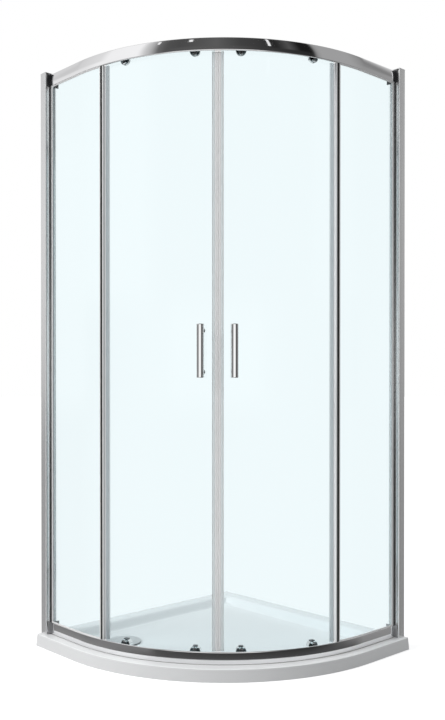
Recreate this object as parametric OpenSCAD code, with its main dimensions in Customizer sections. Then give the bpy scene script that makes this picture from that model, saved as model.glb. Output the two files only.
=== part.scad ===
// Corner shower enclosure: a quadrant tray, two fixed panes and two curved sliding doors.
// Millimetres, +Z up. The origin is the middle of the tray's footprint on the floor. The room's
// walls stand at the tray's -X and +Y sides. The right half is modelled, and the left half is its
// mirror image.
//
// Three measures place almost every piece of the curved front:
//   s  distance out from the wall, along the straight part of the rails
//   a  angle on from the end of the straight part, 45 degrees at the seam where the doors meet
//   m  depth behind the rails' front face
// Heights inside the rails are counted from each rail's outer edge, so one section serves both.

/* [Tray] */
// Width of the tray along each wall
tray_w = 900; // [880:5:1000]
// Height of the tray's rim above the floor
tray_h = 40; // [38:1:60]
// Radius of the tray's curved front
tray_r = 680; // [660:5:720]
// How far the apron's foot stands out beyond the rim
apron_flare = 4; // [2:0.5:6]
// Radius on the front edge of the rim
rim_round = 3; // [1:0.5:5]
// Depth of the basin below the rim
basin_depth = 26; // [20:1:27]
// Flat ledge of the tray along the walls
back_ledge = 45; // [30:1:60]
// Ledge from the tray's front edge back to the basin
front_ledge = 84; // [80:1:95]
// Width of the basin's sloped side, seen from above
basin_slope = 15; // [8:1:25]

/* [Waste] */
// Distance of the waste from the left wall
waste_from_wall = 205; // [190:5:260]
// Distance of the waste from the back wall
waste_from_back = 678; // [600:5:690]
// Radius of the hole in the tray
waste_hole_r = 45; // [42:0.5:46]
// Radius of the waste's flange
flange_r = 56; // [54:0.5:58]
// Thickness of the waste's flange
flange_t = 2; // [1.5:0.1:2.5]
// Thickness of the rubber ring under the flange
seal_t = 1; // [0.8:0.1:1.5]
// Inner radius of the outlet pipe
outlet_r = 25; // [20:1:30]
// Radius of the domed cover
cover_r = 57; // [56:0.5:60]
// Height of the cover's dome
cover_rise = 5; // [3:0.5:8]
// Gap for the water under the cover's edge
cover_gap = 3; // [2:0.5:5]

/* [Frame] */
// Height of the wall profiles above the tray
frame_h = 1930; // [1700:10:2000]
// How far the wall profiles rise above the top rail
profile_rise = 5; // [3:1:10]
// Depth of the wall profiles, out from the wall
profile_d = 31; // [26:1:34]
// How far the wall profiles stand in front of the rails' face
profile_front = 16; // [12:0.5:20]
// How far the wall profiles reach behind the rails' face
profile_back = 27.5; // [24:0.5:32]
// Wall thickness of the profiles
profile_t = 1.8; // [1.4:0.1:2.4]
// Radius of the screw holes in the wall profiles
wall_hole_r = 2.75; // [2:0.25:3.5]
// Height of the lowest wall screw above the tray
wall_hole_low = 100; // [60:10:200]
// Distance from a wall screw up or down to the nearest locking screw
lock_from_hole = 80; // [60:5:120]
// Depth of the pocket that holds the fixed glass
pocket_d = 13; // [10:1:18]

/* [Rails] */
// Distance from the tray's edge back to the rails' face, at the walls
rail_inset = 32; // [30:1:35]
// Radius of the rails' front face
rail_r = 665; // [655:5:680]
// Height of the rails' face
rail_h = 40; // [38:0.5:44]
// Depth of the rails, front to back
rail_d = 38; // [36:0.5:42]
// Wall thickness of the rails
rail_t = 1.8; // [1.4:0.1:2]
// How far the middle of the face stands out, as a crown
crown = 1.4; // [0.5:0.1:2]
// Height of the wall at the back of the rails
rear_lip_h = 12; // [8:1:16]
// Depth of the web behind the fixed glass
web_m = 13.2; // [12.8:0.1:13.4]
// Height of the web
web_h = 36; // [34:0.5:37]
// Height at which the glazing slot is closed
slot_roof = 18; // [16:0.5:19]
// Height of the track that the wheels run on
lip_z = 28; // [27.5:0.1:28.5]
// Height of the rib that guides the wheels
rib_h = 2; // [1.8:0.1:2.2]
// Width of the rib
rib_w = 1.6; // [1.2:0.1:2]
// Thickness of the black end caps of the rails
cap_t = 2.5; // [1.5:0.25:4]

/* [Glass] */
// Thickness of the fixed panes
fixed_t = 6; // [5:0.5:6]
// Thickness of the doors
door_t = 6; // [5:0.5:6]
// Distance from the seam to the middle of a post
post_from_seam = 412; // [408:1:425]
// Width of a post
post_w = 14; // [14:1:22]
// Distance from the seam to a door's outer edge
door_from_seam = 398; // [394:1:402]
// Width of a magnet seal, from the seam
magnet_w = 18.5; // [14:0.5:20]
// Height at which a door's edges run inside the rails
door_edge_z = 31; // [30.5:0.5:32]

/* [Doors] */
// How far each door slides, measured along the glass
door_travel = 242; // [180:1:242]
// Distance from the seam to the inner rollers
inner_from_seam = 74; // [65:1:90]
// Distance from the seam to the outer rollers
outer_from_seam = 321; // [310:1:330]
// Distance from the seam to a handle
handle_from_seam = 51; // [45:1:60]
// Height of a handle's middle above the tray
handle_z = 965; // [800:5:1100]
// Length of a handle
handle_len = 165; // [140:1:200]
// Radius of a handle's bar
handle_r = 12; // [8:0.5:13]
// Distance between a handle's two fixings
handle_pitch = 128; // [96:1:132]
// Clear gap for the fingers behind a handle
finger_gap = 28; // [24:1:40]

/* [Rollers] */
// Radius of a wheel over its flanges
wheel_r = 11; // [10.8:0.1:11.2]
// Radius of a wheel's tread
tread_r = 9.7; // [9.5:0.05:9.9]
// Radius of an axle
axle_r = 3; // [2.5:0.25:3.5]
// Width of a wheel
wheel_w = 8.2; // [8:0.1:8.4]
// Radius of the bolts through the glass
bolt_r = 3; // [2.5:0.25:3]
// Width of a roller's body
body_w = 33; // [28:1:36]
// Height inside the rail of the bolts through the glass
bolt_z = 41; // [40.5:0.5:42]
// How far the release button travels
release_travel = 2.5; // [2:0.25:2.75]

/* [Hidden] */

$fn = 48;
// The long curves have finer steps than the small ones, because pieces fit closely along them
curve_fn = 240;
eps = 0.01;
// Clearances: between fitted pieces, between pieces that move, and round a turning axle
fit_gap = 0.1;
move_gap = 0.3;
axle_gap = 0.05;

// The room corner's distance from the origin, along X and along Y
half_w = (tray_w + apron_flare) / 2;
// The rails' face beside the walls, and the centre of their curve on both axes
face_x = tray_w - rail_inset;
curve_c = face_x - rail_r;
rails_top = tray_h + frame_h - profile_rise;
basin_z = tray_h - basin_depth;

// Depths behind the face: the panes, the wheels and the roller bodies
gasket_t = 1.5;
fixed_m = rail_t + gasket_t + 2;
fixed_back = fixed_m + fixed_t;
web_back = web_m + rail_t;
door_m = web_back + 2;
door_back = door_m + door_t;
rib_m = door_m + 3;
wheel_m = rib_m - wheel_w / 2;
wheel_back = rib_m + wheel_w / 2;
groove_w = wheel_w - 2;
plate_m = wheel_back + 0.6;
plate_t = 3.2;
axle_z = lip_z - rib_h - move_gap - tread_r;
axle_head_t = 0.9;

seam_a = 45;
door_edge_a = along(door_from_seam);
post_out_a = along(post_from_seam + post_w / 2);
post_in_a = along(post_from_seam - post_w / 2);
pane_end_a = along(post_from_seam - post_w / 2 + 3);
open_a = door_travel / back(rib_m) * 180 / PI;

fixed_edge_z = slot_roof + rail_t + gasket_t + 2 * fit_gap;
seal_end_z = web_h + 2.5;

cap_s = profile_d;
rail_s = profile_d + cap_t;
pane_s = rail_s + 0.5;
end_screw_m = 8.2;
end_screw_z = 9.9;
end_screw_r = 2;

// Radius of a surface that lies m behind the face, and the angle of a point at a distance from the seam
function back(m) = rail_r - m;
function along(from_seam) = seam_a - from_seam / rail_r * 180 / PI;

// Places and sweeps
module in_room() {
    translate([-half_w, half_w, 0]) children();
}
module half(left) {
    in_room() mirror(left ? [1, 1, 0] : [0, 0, 0]) children();
}
module halves() {
    half(false) children();
    half(true) children();
}
// A section, with its radius across and its height up, carried along the wall end and the curve
module straight_run(c, s0) {
    translate([c, -s0, 0]) rotate([90, 0, 0]) linear_extrude(c - s0) children();
}
module arc_run(c, a0, a1) {
    translate([c, -c, 0]) rotate([0, 0, -a0]) mirror([0, 1, 0])
        rotate_extrude(angle = a1 - a0, $fn = max($fn, curve_fn)) children();
}
module front_run(c, s0) {
    arc_run(c, 0, 90) children();
    straight_run(c, s0) children();
    mirror([1, 1, 0]) straight_run(c, s0) children();
}
module pane_run(s0, a1) {
    straight_run(curve_c, s0) children();
    arc_run(curve_c, 0, a1) children();
}
module curve(a0, a1) {
    arc_run(curve_c, a0, a1) children();
}
module band(m0, m1, z0, z1) {
    translate([back(m1), z0]) square([m1 - m0, z1 - z0]);
}
// Turns heights inside a rail into heights above the floor
module in_rail(top) {
    translate([0, 0, top ? rails_top : tray_h]) mirror([0, 0, top ? 1 : 0]) children();
}
module section_in_rail(top) {
    translate([0, top ? rails_top : tray_h]) mirror([0, top ? 1 : 0]) children();
}
// A rectangle in plan beside the wall
module plan(s0, s1, m0, m1) {
    translate([face_x - m1, -s1]) square([m1 - m0, s1 - s0]);
}
module upright(z0, z1) {
    translate([0, 0, z0]) linear_extrude(z1 - z0) children();
}
module rod_along_s(s0, s1, m, z, r) {
    translate([face_x - m, -s0, z]) rotate([90, 0, 0]) cylinder(h = s1 - s0, r = r);
}
module rod_along_m(m0, m1, s, z, r) {
    translate([face_x - m1, -s, z]) rotate([0, 90, 0]) cylinder(h = m1 - m0, r = r);
}
// A place on the curve, with its own X along the radius
module on_curve(a) {
    translate([curve_c, -curve_c, 0]) rotate([0, 0, -a]) children();
}
module radial_rod(m0, m1, z, r) {
    translate([back(m1), 0, z]) rotate([0, 90, 0]) cylinder(h = m1 - m0, r = r);
}
module radial_plate(m0, m1) {
    translate([back(m1), 0, 0]) rotate([90, 0, 90]) linear_extrude(m1 - m0) children();
}
module round_rect(w, z0, z1, r) {
    translate([-w / 2 + r, z0]) square([w - 2 * r, z1 - z0]);
    translate([-w / 2, z0 + r]) square([w, z1 - z0 - 2 * r]);
    for (x = [-1, 1], z = [z0 + r, z1 - r])
        translate([x * (w / 2 - r), z]) circle(r);
}
module at_waste() {
    in_room() translate([waste_from_wall, -waste_from_back, 0]) children();
}

// Tray
rim_strip = 12;
dish_fall = 2;
dish_r = 150;
flange_z = basin_z - dish_fall;
module quadrant(back_in, front_in) {
    w = tray_w - front_in;
    c = tray_w - tray_r;
    intersection() {
        translate([back_in, -w]) square(w - back_in);
        union() {
            translate([0, -c]) square([w, c]);
            translate([0, -w]) square([c, w]);
            translate([c, -c]) circle(tray_r - front_in);
        }
    }
}
module apron_section() {
    round_c = [tray_r - rim_round, tray_h - rim_round];
    polygon(concat(
        [[tray_r - rim_strip, 0], [tray_r + apron_flare, 0]],
        [for (t = [0 : 15 : 90]) round_c + rim_round * [cos(t), sin(t)]],
        [[tray_r - rim_strip, tray_h]]
    ));
}
module basin() {
    slab = 1;
    hull($fn = 120) {
        upright(tray_h, tray_h + slab) quadrant(back_ledge, front_ledge, $fn = 120);
        upright(basin_z, basin_z + eps)
            quadrant(back_ledge + basin_slope, front_ledge + basin_slope, $fn = 120);
    }
}
module shower_tray() {
    color("white")
    difference() {
        in_room() {
            upright(0, tray_h) quadrant(0, rim_strip - 1);
            front_run(tray_w - tray_r, 0) apron_section();
        }
        in_room() basin();
        at_waste() {
            translate([0, 0, flange_z]) cylinder(h = dish_fall + eps, r1 = flange_r + 1, r2 = dish_r);
            translate([0, 0, flange_z - flange_t - seal_t]) cylinder(h = tray_h, r = flange_r + 0.5);
            translate([0, 0, -1]) cylinder(h = tray_h, r = waste_hole_r);
        }
    }
}

// Waste and its lift-off cover
seat_z = flange_z - flange_t;
tube_r = waste_hole_r - 0.5;
tube_t = 3;
outlet_z = 1;
outlet_len = 4;
module waste_body() {
    color("gainsboro")
    at_waste() difference() {
        union() {
            translate([0, 0, seat_z]) cylinder(h = flange_t, r = flange_r);
            translate([0, 0, outlet_z]) cylinder(h = flange_z - outlet_z, r = tube_r);
        }
        translate([0, 0, outlet_z + outlet_len]) cylinder(h = tray_h, r = tube_r - tube_t);
        cylinder(h = tray_h, r = outlet_r);
    }
}
module waste_seal() {
    color("dimgray")
    at_waste() translate([0, 0, seat_z - seal_t]) difference() {
        cylinder(h = seal_t, r = flange_r - 1);
        translate([0, 0, -1]) cylinder(h = seal_t + 2, r = tube_r + 0.5);
    }
}
cover_t = 1.6;
cover_z = flange_z + cover_gap;
stem_r = 5;
foot_r = 3;
foot_ring = (tube_r - tube_t + flange_r) / 2;
basket_z = outlet_z + outlet_len + 1.3;
module cover_shell(lift) {
    sphere_r = (cover_r * cover_r + cover_rise * cover_rise) / (2 * cover_rise);
    intersection() {
        translate([0, 0, cover_z + lift])
            cylinder(h = cover_rise + cover_t, r = cover_r - (lift ? 0 : cover_t));
        translate([0, 0, cover_z + lift + cover_rise - sphere_r]) sphere(sphere_r, $fn = 96);
    }
}
module drain_cover() {
    color("silver")
    at_waste() {
        difference() {
            union() {
                cover_shell(cover_t);
                translate([0, 0, cover_z]) cylinder(h = cover_t + eps, r = cover_r);
            }
            translate([0, 0, -eps]) cover_shell(0);
        }
        translate([0, 0, basket_z + cover_t])
            cylinder(h = cover_z + cover_rise - basket_z - cover_t, r = stem_r);
        for (t = [0 : 120 : 240])
            rotate(t) translate([foot_ring, 0, flange_z + move_gap]) cylinder(h = cover_gap + 1, r = foot_r);
    }
}
basket_r = tube_r - tube_t - 2.5;
basket_wall = 1.5;
slot_count = 12;
module hair_basket() {
    color("lightgray")
    at_waste() translate([0, 0, basket_z]) difference() {
        union() {
            cylinder(h = flange_z - basket_z, r = basket_r);
        }
        difference() {
            translate([0, 0, basket_wall]) cylinder(h = tray_h, r = basket_r - basket_wall);
            cylinder(h = flange_z - basket_z, r = stem_r + 3);
        }
        translate([0, 0, basket_wall]) cylinder(h = tray_h, r = stem_r + fit_gap);
        for (t = [0 : 360 / slot_count : 359])
            rotate(t) translate([basket_r * 0.62, 0, -1]) cylinder(h = basket_wall + 2, r = 3.5);
    }
}

// Wall profiles, with the frame profiles that slide in them
profile_top = tray_h + frame_h;
leg_gap = 0.4;
wall_hole_m = (profile_back - profile_front) / 2;
wall_holes = [wall_hole_low, frame_h / 2, frame_h - wall_hole_low];
lock_s = profile_d * 0.55;
lock_r = 1.9;
lock_zs = [
    wall_hole_low + lock_from_hole, frame_h / 2 + lock_from_hole,
    frame_h - wall_hole_low - lock_from_hole
];
module wall_profile() {
    difference() {
        upright(tray_h, profile_top) {
            plan(0, profile_t, -profile_front, profile_back);
            plan(0, profile_d, -profile_front, -profile_front + profile_t);
            plan(0, profile_d, profile_back - profile_t, profile_back);
            plan(profile_t - eps, profile_t + 3, wall_hole_m - 9, wall_hole_m - 7.5);
            plan(profile_t - eps, profile_t + 3, wall_hole_m + 7.5, wall_hole_m + 9);
        }
        for (z = wall_holes)
            rod_along_s(-1, profile_t + 1, wall_hole_m, tray_h + z, wall_hole_r);
        for (z = lock_zs)
            rod_along_m(profile_back - profile_t - 1, profile_back + 1, lock_s, tray_h + z, lock_r + fit_gap);
    }
}
module frame_profile() {
    f0 = -profile_front + profile_t + leg_gap;
    f1 = profile_back - profile_t - leg_gap;
    leg_s = 8;
    p0 = fixed_m - gasket_t - fit_gap;
    p1 = fixed_back + gasket_t + fit_gap;
    difference() {
        union() {
            upright(tray_h, rails_top) {
                plan(profile_d - profile_t, profile_d, f0, f1);
                plan(leg_s, profile_d, f0, f0 + profile_t);
                plan(leg_s, profile_d, f1 - profile_t, f1);
            }
            upright(tray_h + rail_h, rails_top - rail_h) {
                plan(profile_d - profile_t, profile_d + pocket_d, p0 - profile_t, p0);
                plan(profile_d - profile_t, profile_d + pocket_d, p1, p1 + profile_t);
            }
        }
        for (z = [tray_h + end_screw_z, rails_top - end_screw_z])
            rod_along_s(profile_d - profile_t - 1, profile_d + 1, end_screw_m, z, end_screw_r + fit_gap);
        for (z = lock_zs)
            rod_along_m(f1 - profile_t - 1, f1 + 1, lock_s, tray_h + z, lock_r + fit_gap);
    }
}
module frame_gaskets() {
    color("lightgray")
    halves() upright(tray_h + rail_h + fit_gap, rails_top - rail_h - fit_gap) {
        plan(pane_s - fit_gap - gasket_t, profile_d + pocket_d, fixed_m - gasket_t, fixed_m - fit_gap);
        plan(pane_s - fit_gap - gasket_t, profile_d + pocket_d, fixed_back + fit_gap, fixed_back + gasket_t);
        plan(pane_s - fit_gap - gasket_t, pane_s - fit_gap, fixed_m - gasket_t, fixed_back + gasket_t);
    }
}
module profile_caps() {
    color([0.1, 0.1, 0.1])
    halves() {
        upright(profile_top, profile_top + 2) plan(0, profile_d, -profile_front, profile_back);
        upright(profile_top - 8, profile_top + eps)
            plan(profile_t + fit_gap, profile_d - profile_t - 6, wall_hole_m - 6, wall_hole_m + 6);
    }
}
lock_head_t = 1.8;
lock_head_r = 3.6;
module frame_screws() {
    color("silver")
    halves() {
        for (z = [tray_h + end_screw_z, rails_top - end_screw_z]) {
            rod_along_s(profile_d - profile_t - 3, profile_d - profile_t, end_screw_m, z, end_screw_r * 2);
            rod_along_s(profile_d - profile_t - eps, rail_s + 20, end_screw_m, z, end_screw_r);
        }
        for (z = lock_zs) {
            rod_along_m(profile_back, profile_back + lock_head_t, lock_s, tray_h + z, lock_head_r);
            rod_along_m(profile_back - 8, profile_back + eps, lock_s, tray_h + z, lock_r);
        }
    }
}
module screw_caps() {
    color("lightgray")
    halves() for (z = lock_zs) difference() {
        rod_along_m(profile_back, profile_back + lock_head_t + 1.5, lock_s, tray_h + z, lock_head_r + 1.8);
        rod_along_m(profile_back - 1, profile_back + lock_head_t + fit_gap, lock_s, tray_h + z,
            lock_head_r + fit_gap);
    }
}

// Rails
crown_steps = 8;
port_r = 3.7;
port_rib = 1.6;
face_t = rail_t + 1.5;
lip_m = rib_m + rib_w / 2 + 1.2;
module rail_section() {
    face = [for (i = [0 : crown_steps]) let (u = 2 * i / crown_steps - 1)
        [back(crown * u * u), rail_h * i / crown_steps]];
    difference() {
        union() {
            polygon(concat(face, [[back(face_t), rail_h], [back(face_t), 0]]));
            band(crown, rail_d, 0, rail_t);
            band(rail_d - rail_t, rail_d, 0, rear_lip_h);
            band(web_m, web_back, 0, web_h);
            band(face_t - eps, web_m + eps, slot_roof, slot_roof + rail_t);
            band(web_m, lip_m, lip_z, lip_z + rail_t);
            band(rib_m - rib_w / 2, rib_m + rib_w / 2, lip_z - rib_h, lip_z + eps);
            band(face_t - eps, web_m + eps, end_screw_z - port_rib / 2, end_screw_z + port_rib / 2);
            translate([back(end_screw_m), end_screw_z]) circle(port_r);
        }
        translate([back(end_screw_m), end_screw_z]) circle(end_screw_r + fit_gap);
    }
}
module top_rail() {
    color("silver")
    in_room() front_run(curve_c, rail_s) section_in_rail(true) rail_section();
}
module bottom_rail() {
    color("silver")
    in_room() front_run(curve_c, rail_s) section_in_rail(false) rail_section();
}
cap_front = 8;
module rail_end_caps() {
    color([0.08, 0.08, 0.08])
    halves() for (top = [true, false]) in_rail(top) difference() {
        upright(move_gap, rail_h - move_gap) plan(cap_s, rail_s, -cap_front, rail_d);
        rod_along_s(cap_s - 1, rail_s + 1, end_screw_m, end_screw_z, end_screw_r + fit_gap);
    }
}
module rail_gaskets() {
    color("lightgray")
    halves() for (top = [true, false]) pane_run(rail_s, pane_end_a) section_in_rail(top) {
        band(fixed_m - gasket_t, fixed_m - fit_gap, fixed_edge_z - fit_gap - gasket_t, web_h);
        band(fixed_back + fit_gap, web_m - fit_gap, fixed_edge_z - fit_gap - gasket_t, web_h);
        band(fixed_m - gasket_t, web_m - fit_gap, fixed_edge_z - fit_gap - gasket_t, fixed_edge_z - fit_gap);
    }
}
// Rubber stops on the track, just past the outer wheels of an open door
stop_len = 12;
stop_s = curve_c - back(rib_m) * sin(open_a - along(outer_from_seam)) - wheel_r - 0.5;
module door_stops() {
    color([0.12, 0.12, 0.12])
    halves() in_rail(true) difference() {
        upright(axle_z - 2, lip_z) plan(stop_s - stop_len, stop_s, web_back + 0.5, wheel_back);
        upright(lip_z - rib_h - 0.2, lip_z + 1)
            plan(stop_s - stop_len - 1, stop_s + 1, rib_m - rib_w / 2 - 0.2, rib_m + rib_w / 2 + 0.2);
    }
}

// Fixed panes and the posts on their ends
module fixed_glass() {
    color([0.8, 0.93, 0.97, 0.4])
    pane_run(pane_s, pane_end_a)
        band(fixed_m, fixed_back, tray_h + fixed_edge_z, rails_top - fixed_edge_z);
}
post_t = 1.8;
post_m = fixed_m - fit_gap - post_t;
post_back = fixed_back + fit_gap + post_t;
module post() {
    color("silver")
    difference() {
        curve(post_out_a, post_in_a) band(post_m, post_back, tray_h + rail_h, rails_top - rail_h);
        curve(post_out_a - 1, pane_end_a + 0.02)
            band(fixed_m - fit_gap, fixed_back + fit_gap, tray_h, rails_top);
    }
}
strip_t = 0.6;
strip_end = 20;
module post_strips() {
    color("lightgray")
    halves() curve(post_out_a + 0.4, post_in_a - 0.2)
        band(post_back + fit_gap, post_back + fit_gap + strip_t,
            tray_h + rail_h + strip_end, rails_top - rail_h - strip_end);
}

// Doors
glass_hole_r = 4;
// The drills run well past both faces, because the pane is curved
drill_over = 4;
handle_hole_r = 5;
roller_as = [along(inner_from_seam), along(outer_from_seam)];
handle_a = along(handle_from_seam);
handle_zs = [tray_h + handle_z - handle_pitch / 2, tray_h + handle_z + handle_pitch / 2];
magnet_gap = 0.4;
leg_d = 9;
// A door's pane and seals fit so closely that their curve needs finer steps than the rails do
fine_fn = 720;
module door_glass() {
    color([0.8, 0.93, 0.97, 0.4])
    difference() {
        curve(door_edge_a, along(magnet_w - leg_d + 0.2), $fn = fine_fn)
            band(door_m, door_back, tray_h + door_edge_z, rails_top - door_edge_z);
        for (a = roller_as, top = [true, false])
            on_curve(a) in_rail(top)
                radial_rod(door_m - drill_over, door_back + drill_over, bolt_z, glass_hole_r);
        for (z = handle_zs)
            on_curve(handle_a)
                radial_rod(door_m - drill_over, door_back + drill_over, z, handle_hole_r);
    }
}
seal_t2 = 1.2;
fin_t = 0.8;
seal_m = door_m - fit_gap - seal_t2;
seal_back = door_back + fit_gap + seal_t2;
module seal_block(a0, a1) {
    curve(a0, a1, $fn = fine_fn) band(seal_m, seal_back, tray_h + seal_end_z, rails_top - seal_end_z);
}
module glass_groove(a0, a1) {
    curve(a0, a1, $fn = fine_fn) band(door_m - fit_gap, door_back + fit_gap, tray_h, rails_top);
}
module magnet_seal() {
    color([0.85, 0.87, 0.88, 0.8])
    difference() {
        seal_block(along(magnet_w), along(magnet_gap));
        glass_groove(along(magnet_w + 1), along(magnet_w - leg_d));
    }
}
edge_cover = 12;
edge_fin = 12;
module edge_seal() {
    color([0.8, 0.82, 0.83, 0.8])
    difference() {
        seal_block(along(door_from_seam + edge_fin), along(door_from_seam - edge_cover));
        glass_groove(along(door_from_seam + 0.2), along(door_from_seam - edge_cover - 1));
        curve(along(door_from_seam + edge_fin + 1), along(door_from_seam + 1.6), $fn = fine_fn)
            band(seal_m + fin_t, seal_back + 1, tray_h, rails_top);
    }
}

// Handles: a round bar on two studs, screwed through the glass from inside
pad_t = 1.2;
pad_r = 9;
stud_r = 6;
bar_m = door_m - finger_gap - handle_r;
bar_chamfer = 1;
handle_bolt_r = 3;
module handle() {
    z0 = tray_h + handle_z - handle_len / 2;
    color("silver")
    on_curve(handle_a) difference() {
        union() {
            translate([back(bar_m), 0, z0]) {
                cylinder(h = bar_chamfer, r1 = handle_r - bar_chamfer, r2 = handle_r);
                translate([0, 0, bar_chamfer]) cylinder(h = handle_len - 2 * bar_chamfer, r = handle_r);
                translate([0, 0, handle_len - bar_chamfer])
                    cylinder(h = bar_chamfer, r1 = handle_r, r2 = handle_r - bar_chamfer);
            }
            for (z = handle_zs) radial_rod(bar_m, door_m - fit_gap - pad_t, z, stud_r);
        }
        for (z = handle_zs) radial_rod(bar_m + handle_r, door_m, z, handle_bolt_r + axle_gap);
    }
}
module handle_gaskets() {
    color("lightgray")
    on_curve(handle_a) for (z = handle_zs) difference() {
        union() {
            radial_rod(door_m - pad_t - fit_gap / 2, door_m - fit_gap / 2, z, pad_r);
            radial_rod(door_back + fit_gap / 2, door_back + pad_t + fit_gap / 2, z, pad_r);
        }
        radial_rod(door_m - 5, door_back + 5, z, handle_bolt_r + fit_gap);
    }
}
inner_disc_t = 4;
module handle_screws() {
    color("silver")
    on_curve(handle_a) for (z = handle_zs) {
        radial_rod(door_m - 20, door_back + pad_t + fit_gap + eps, z, handle_bolt_r);
        radial_rod(door_back + pad_t + fit_gap, door_back + pad_t + fit_gap + inner_disc_t, z, pad_r);
    }
}

// Rollers
bracket_back = door_back + 8;
bracket_m = door_back + 0.3;
arm_w = 16;
dome_r = body_w / 2;
dome_z = bolt_z + 7 - dome_r;
arch_r = body_w / 2 - 2.5;
module top_brackets() {
    color("silver")
    for (a = roller_as) on_curve(a) in_rail(true) difference() {
        union() {
            radial_plate(bracket_m, bracket_back) intersection() {
                translate([0, dome_z]) circle(dome_r);
                translate([-dome_r, lip_z + 2]) square([body_w, rail_h]);
            }
            radial_plate(plate_m, plate_m + plate_t) round_rect(arm_w, axle_z - 8, dome_z, 4);
        }
        radial_rod(bracket_m - 1, bracket_back + 1, bolt_z, bolt_r + axle_gap);
        radial_rod(bracket_m - 1, plate_m + plate_t + 1, axle_z, axle_r + 0.02);
    }
}
cap_r = 6.5;
bolt_cap_t = 1.4;
module roller_bolt(reach) {
    radial_rod(door_m - fit_gap - bolt_cap_t, door_m - fit_gap, bolt_z, cap_r);
    radial_rod(door_m - fit_gap - eps, reach, bolt_z, bolt_r);
}
head_r = 4.4;
module axle(reach) {
    radial_rod(wheel_m + move_gap, wheel_m + move_gap + axle_head_t, axle_z, head_r);
    radial_rod(wheel_m + move_gap + axle_head_t - eps, reach, axle_z, axle_r);
}
module roller_fixings() {
    color("gray")
    for (a = roller_as) on_curve(a) {
        in_rail(true) {
            roller_bolt(bracket_back);
            axle(plate_m + plate_t);
        }
        in_rail(false) roller_bolt(bolt_reach);
    }
}
module glass_bushes() {
    color("lightgray")
    for (a = roller_as, top = [true, false]) on_curve(a) in_rail(top) difference() {
        radial_rod(door_m + fit_gap, door_back - fit_gap, bolt_z, glass_hole_r - fit_gap);
        radial_rod(door_m - 1, door_back + 1, bolt_z, bolt_r + fit_gap);
    }
}
module wheel(a, top) {
    color("whitesmoke")
    on_curve(a) in_rail(top) difference() {
        union() {
            radial_rod(wheel_m, rib_m - groove_w / 2, axle_z, wheel_r);
            radial_rod(wheel_m, wheel_back, axle_z, tread_r);
            radial_rod(rib_m + groove_w / 2, wheel_back, axle_z, wheel_r);
        }
        radial_rod(wheel_m - 1, wheel_back + 1, axle_z, axle_r + axle_gap);
        radial_rod(wheel_m - 1, wheel_m + axle_head_t + 2 * move_gap, axle_z, head_r + 0.4);
    }
}

// Bottom rollers: a housing on the glass, and a sprung slider that carries the wheel
housing_top = bolt_z + 7.5;
housing_z = door_edge_z + 2;
channel_gap = 0.3;
slider_w = 14;
spring_r = 2.4;
spring_wire = 0.45;
spring_m = plate_m + plate_t + 6.2;
pad_back = spring_m + spring_r + 1;
housing_back = pad_back + channel_gap + 1.6;
bolt_reach = plate_m + plate_t + 2;
button_z = housing_top + release_travel + 0.3;
pad_z = bolt_z + 4;
spring_z = housing_z + 1.6;
module arch() {
    w = body_w / 2 - arch_r;
    intersection() {
        translate([-body_w / 2, housing_z]) square([body_w, housing_top - housing_z]);
        union() {
            translate([-w, housing_top - 2 * arch_r]) square([2 * w, 2 * arch_r]);
            translate([-body_w / 2, 0]) square([body_w, housing_top - arch_r]);
            for (x = [-w, w]) translate([x, housing_top - arch_r]) circle(arch_r);
        }
    }
}
module bottom_housings() {
    well_z = pad_z - release_travel - channel_gap;
    color("silver")
    for (a = roller_as) on_curve(a) in_rail(false) difference() {
        radial_plate(bracket_m, housing_back) arch();
        radial_plate(plate_m - channel_gap, plate_m + plate_t + channel_gap)
            translate([-slider_w / 2 - channel_gap, 0]) square([slider_w + 2 * channel_gap, rail_h * 2]);
        radial_plate(plate_m, pad_back + channel_gap)
            translate([-slider_w / 2 - channel_gap, well_z]) square([slider_w + 2 * channel_gap, rail_h]);
        radial_rod(bracket_m - 1, bolt_reach + 0.5, bolt_z, bolt_r + axle_gap);
        translate([back(spring_m), 0, spring_z]) cylinder(h = rail_h, r = spring_r + spring_wire + 0.3);
    }
}
module release_slider(a) {
    color("dimgray")
    on_curve(a) in_rail(false) {
        difference() {
            union() {
                radial_plate(plate_m, plate_m + plate_t)
                    translate([-slider_w / 2, axle_z - 7]) square([slider_w, button_z - axle_z + 7]);
                radial_plate(plate_m, pad_back)
                    translate([-slider_w / 2, pad_z]) square([slider_w, button_z - pad_z]);
            }
            radial_plate(plate_m - 1, bolt_reach + channel_gap) {
                translate([-bolt_r - move_gap, bolt_z]) square([2 * (bolt_r + move_gap), release_travel]);
                for (z = [bolt_z, bolt_z + release_travel])
                    translate([0, z]) circle(bolt_r + move_gap);
            }
        }
        axle(plate_m + eps);
    }
}
// A coil swept along its own helix, as one closed tube
spring_turns = 6;
spring_steps = 10;
spring_sides = 6;
module coil(r, wire, height) {
    steps = spring_turns * spring_steps;
    rings = [for (i = [0 : steps]) let (t = i / steps, p = 360 * spring_turns * t)
        for (j = [0 : spring_sides - 1]) let (q = 360 * j / spring_sides)
            [(r + wire * cos(q)) * cos(p), (r + wire * cos(q)) * sin(p), height * t + wire * sin(q)]];
    sides = [for (i = [0 : steps - 1], j = [0 : spring_sides - 1]) let (k = (j + 1) % spring_sides)
        [i * spring_sides + j, i * spring_sides + k, (i + 1) * spring_sides + k, (i + 1) * spring_sides + j]];
    first = [for (j = [spring_sides - 1 : -1 : 0]) j];
    last = [for (j = [0 : spring_sides - 1]) steps * spring_sides + j];
    polyhedron(points = rings, faces = concat(sides, [first, last]));
}
module release_spring(a) {
    color("gray")
    on_curve(a) in_rail(false)
        translate([back(spring_m), 0, spring_z + spring_wire + fit_gap])
            coil(spring_r, spring_wire, pad_z - spring_z - 2 * spring_wire - 2 * fit_gap);
}

inner_a = along(inner_from_seam);
outer_a = along(outer_from_seam);

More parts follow.
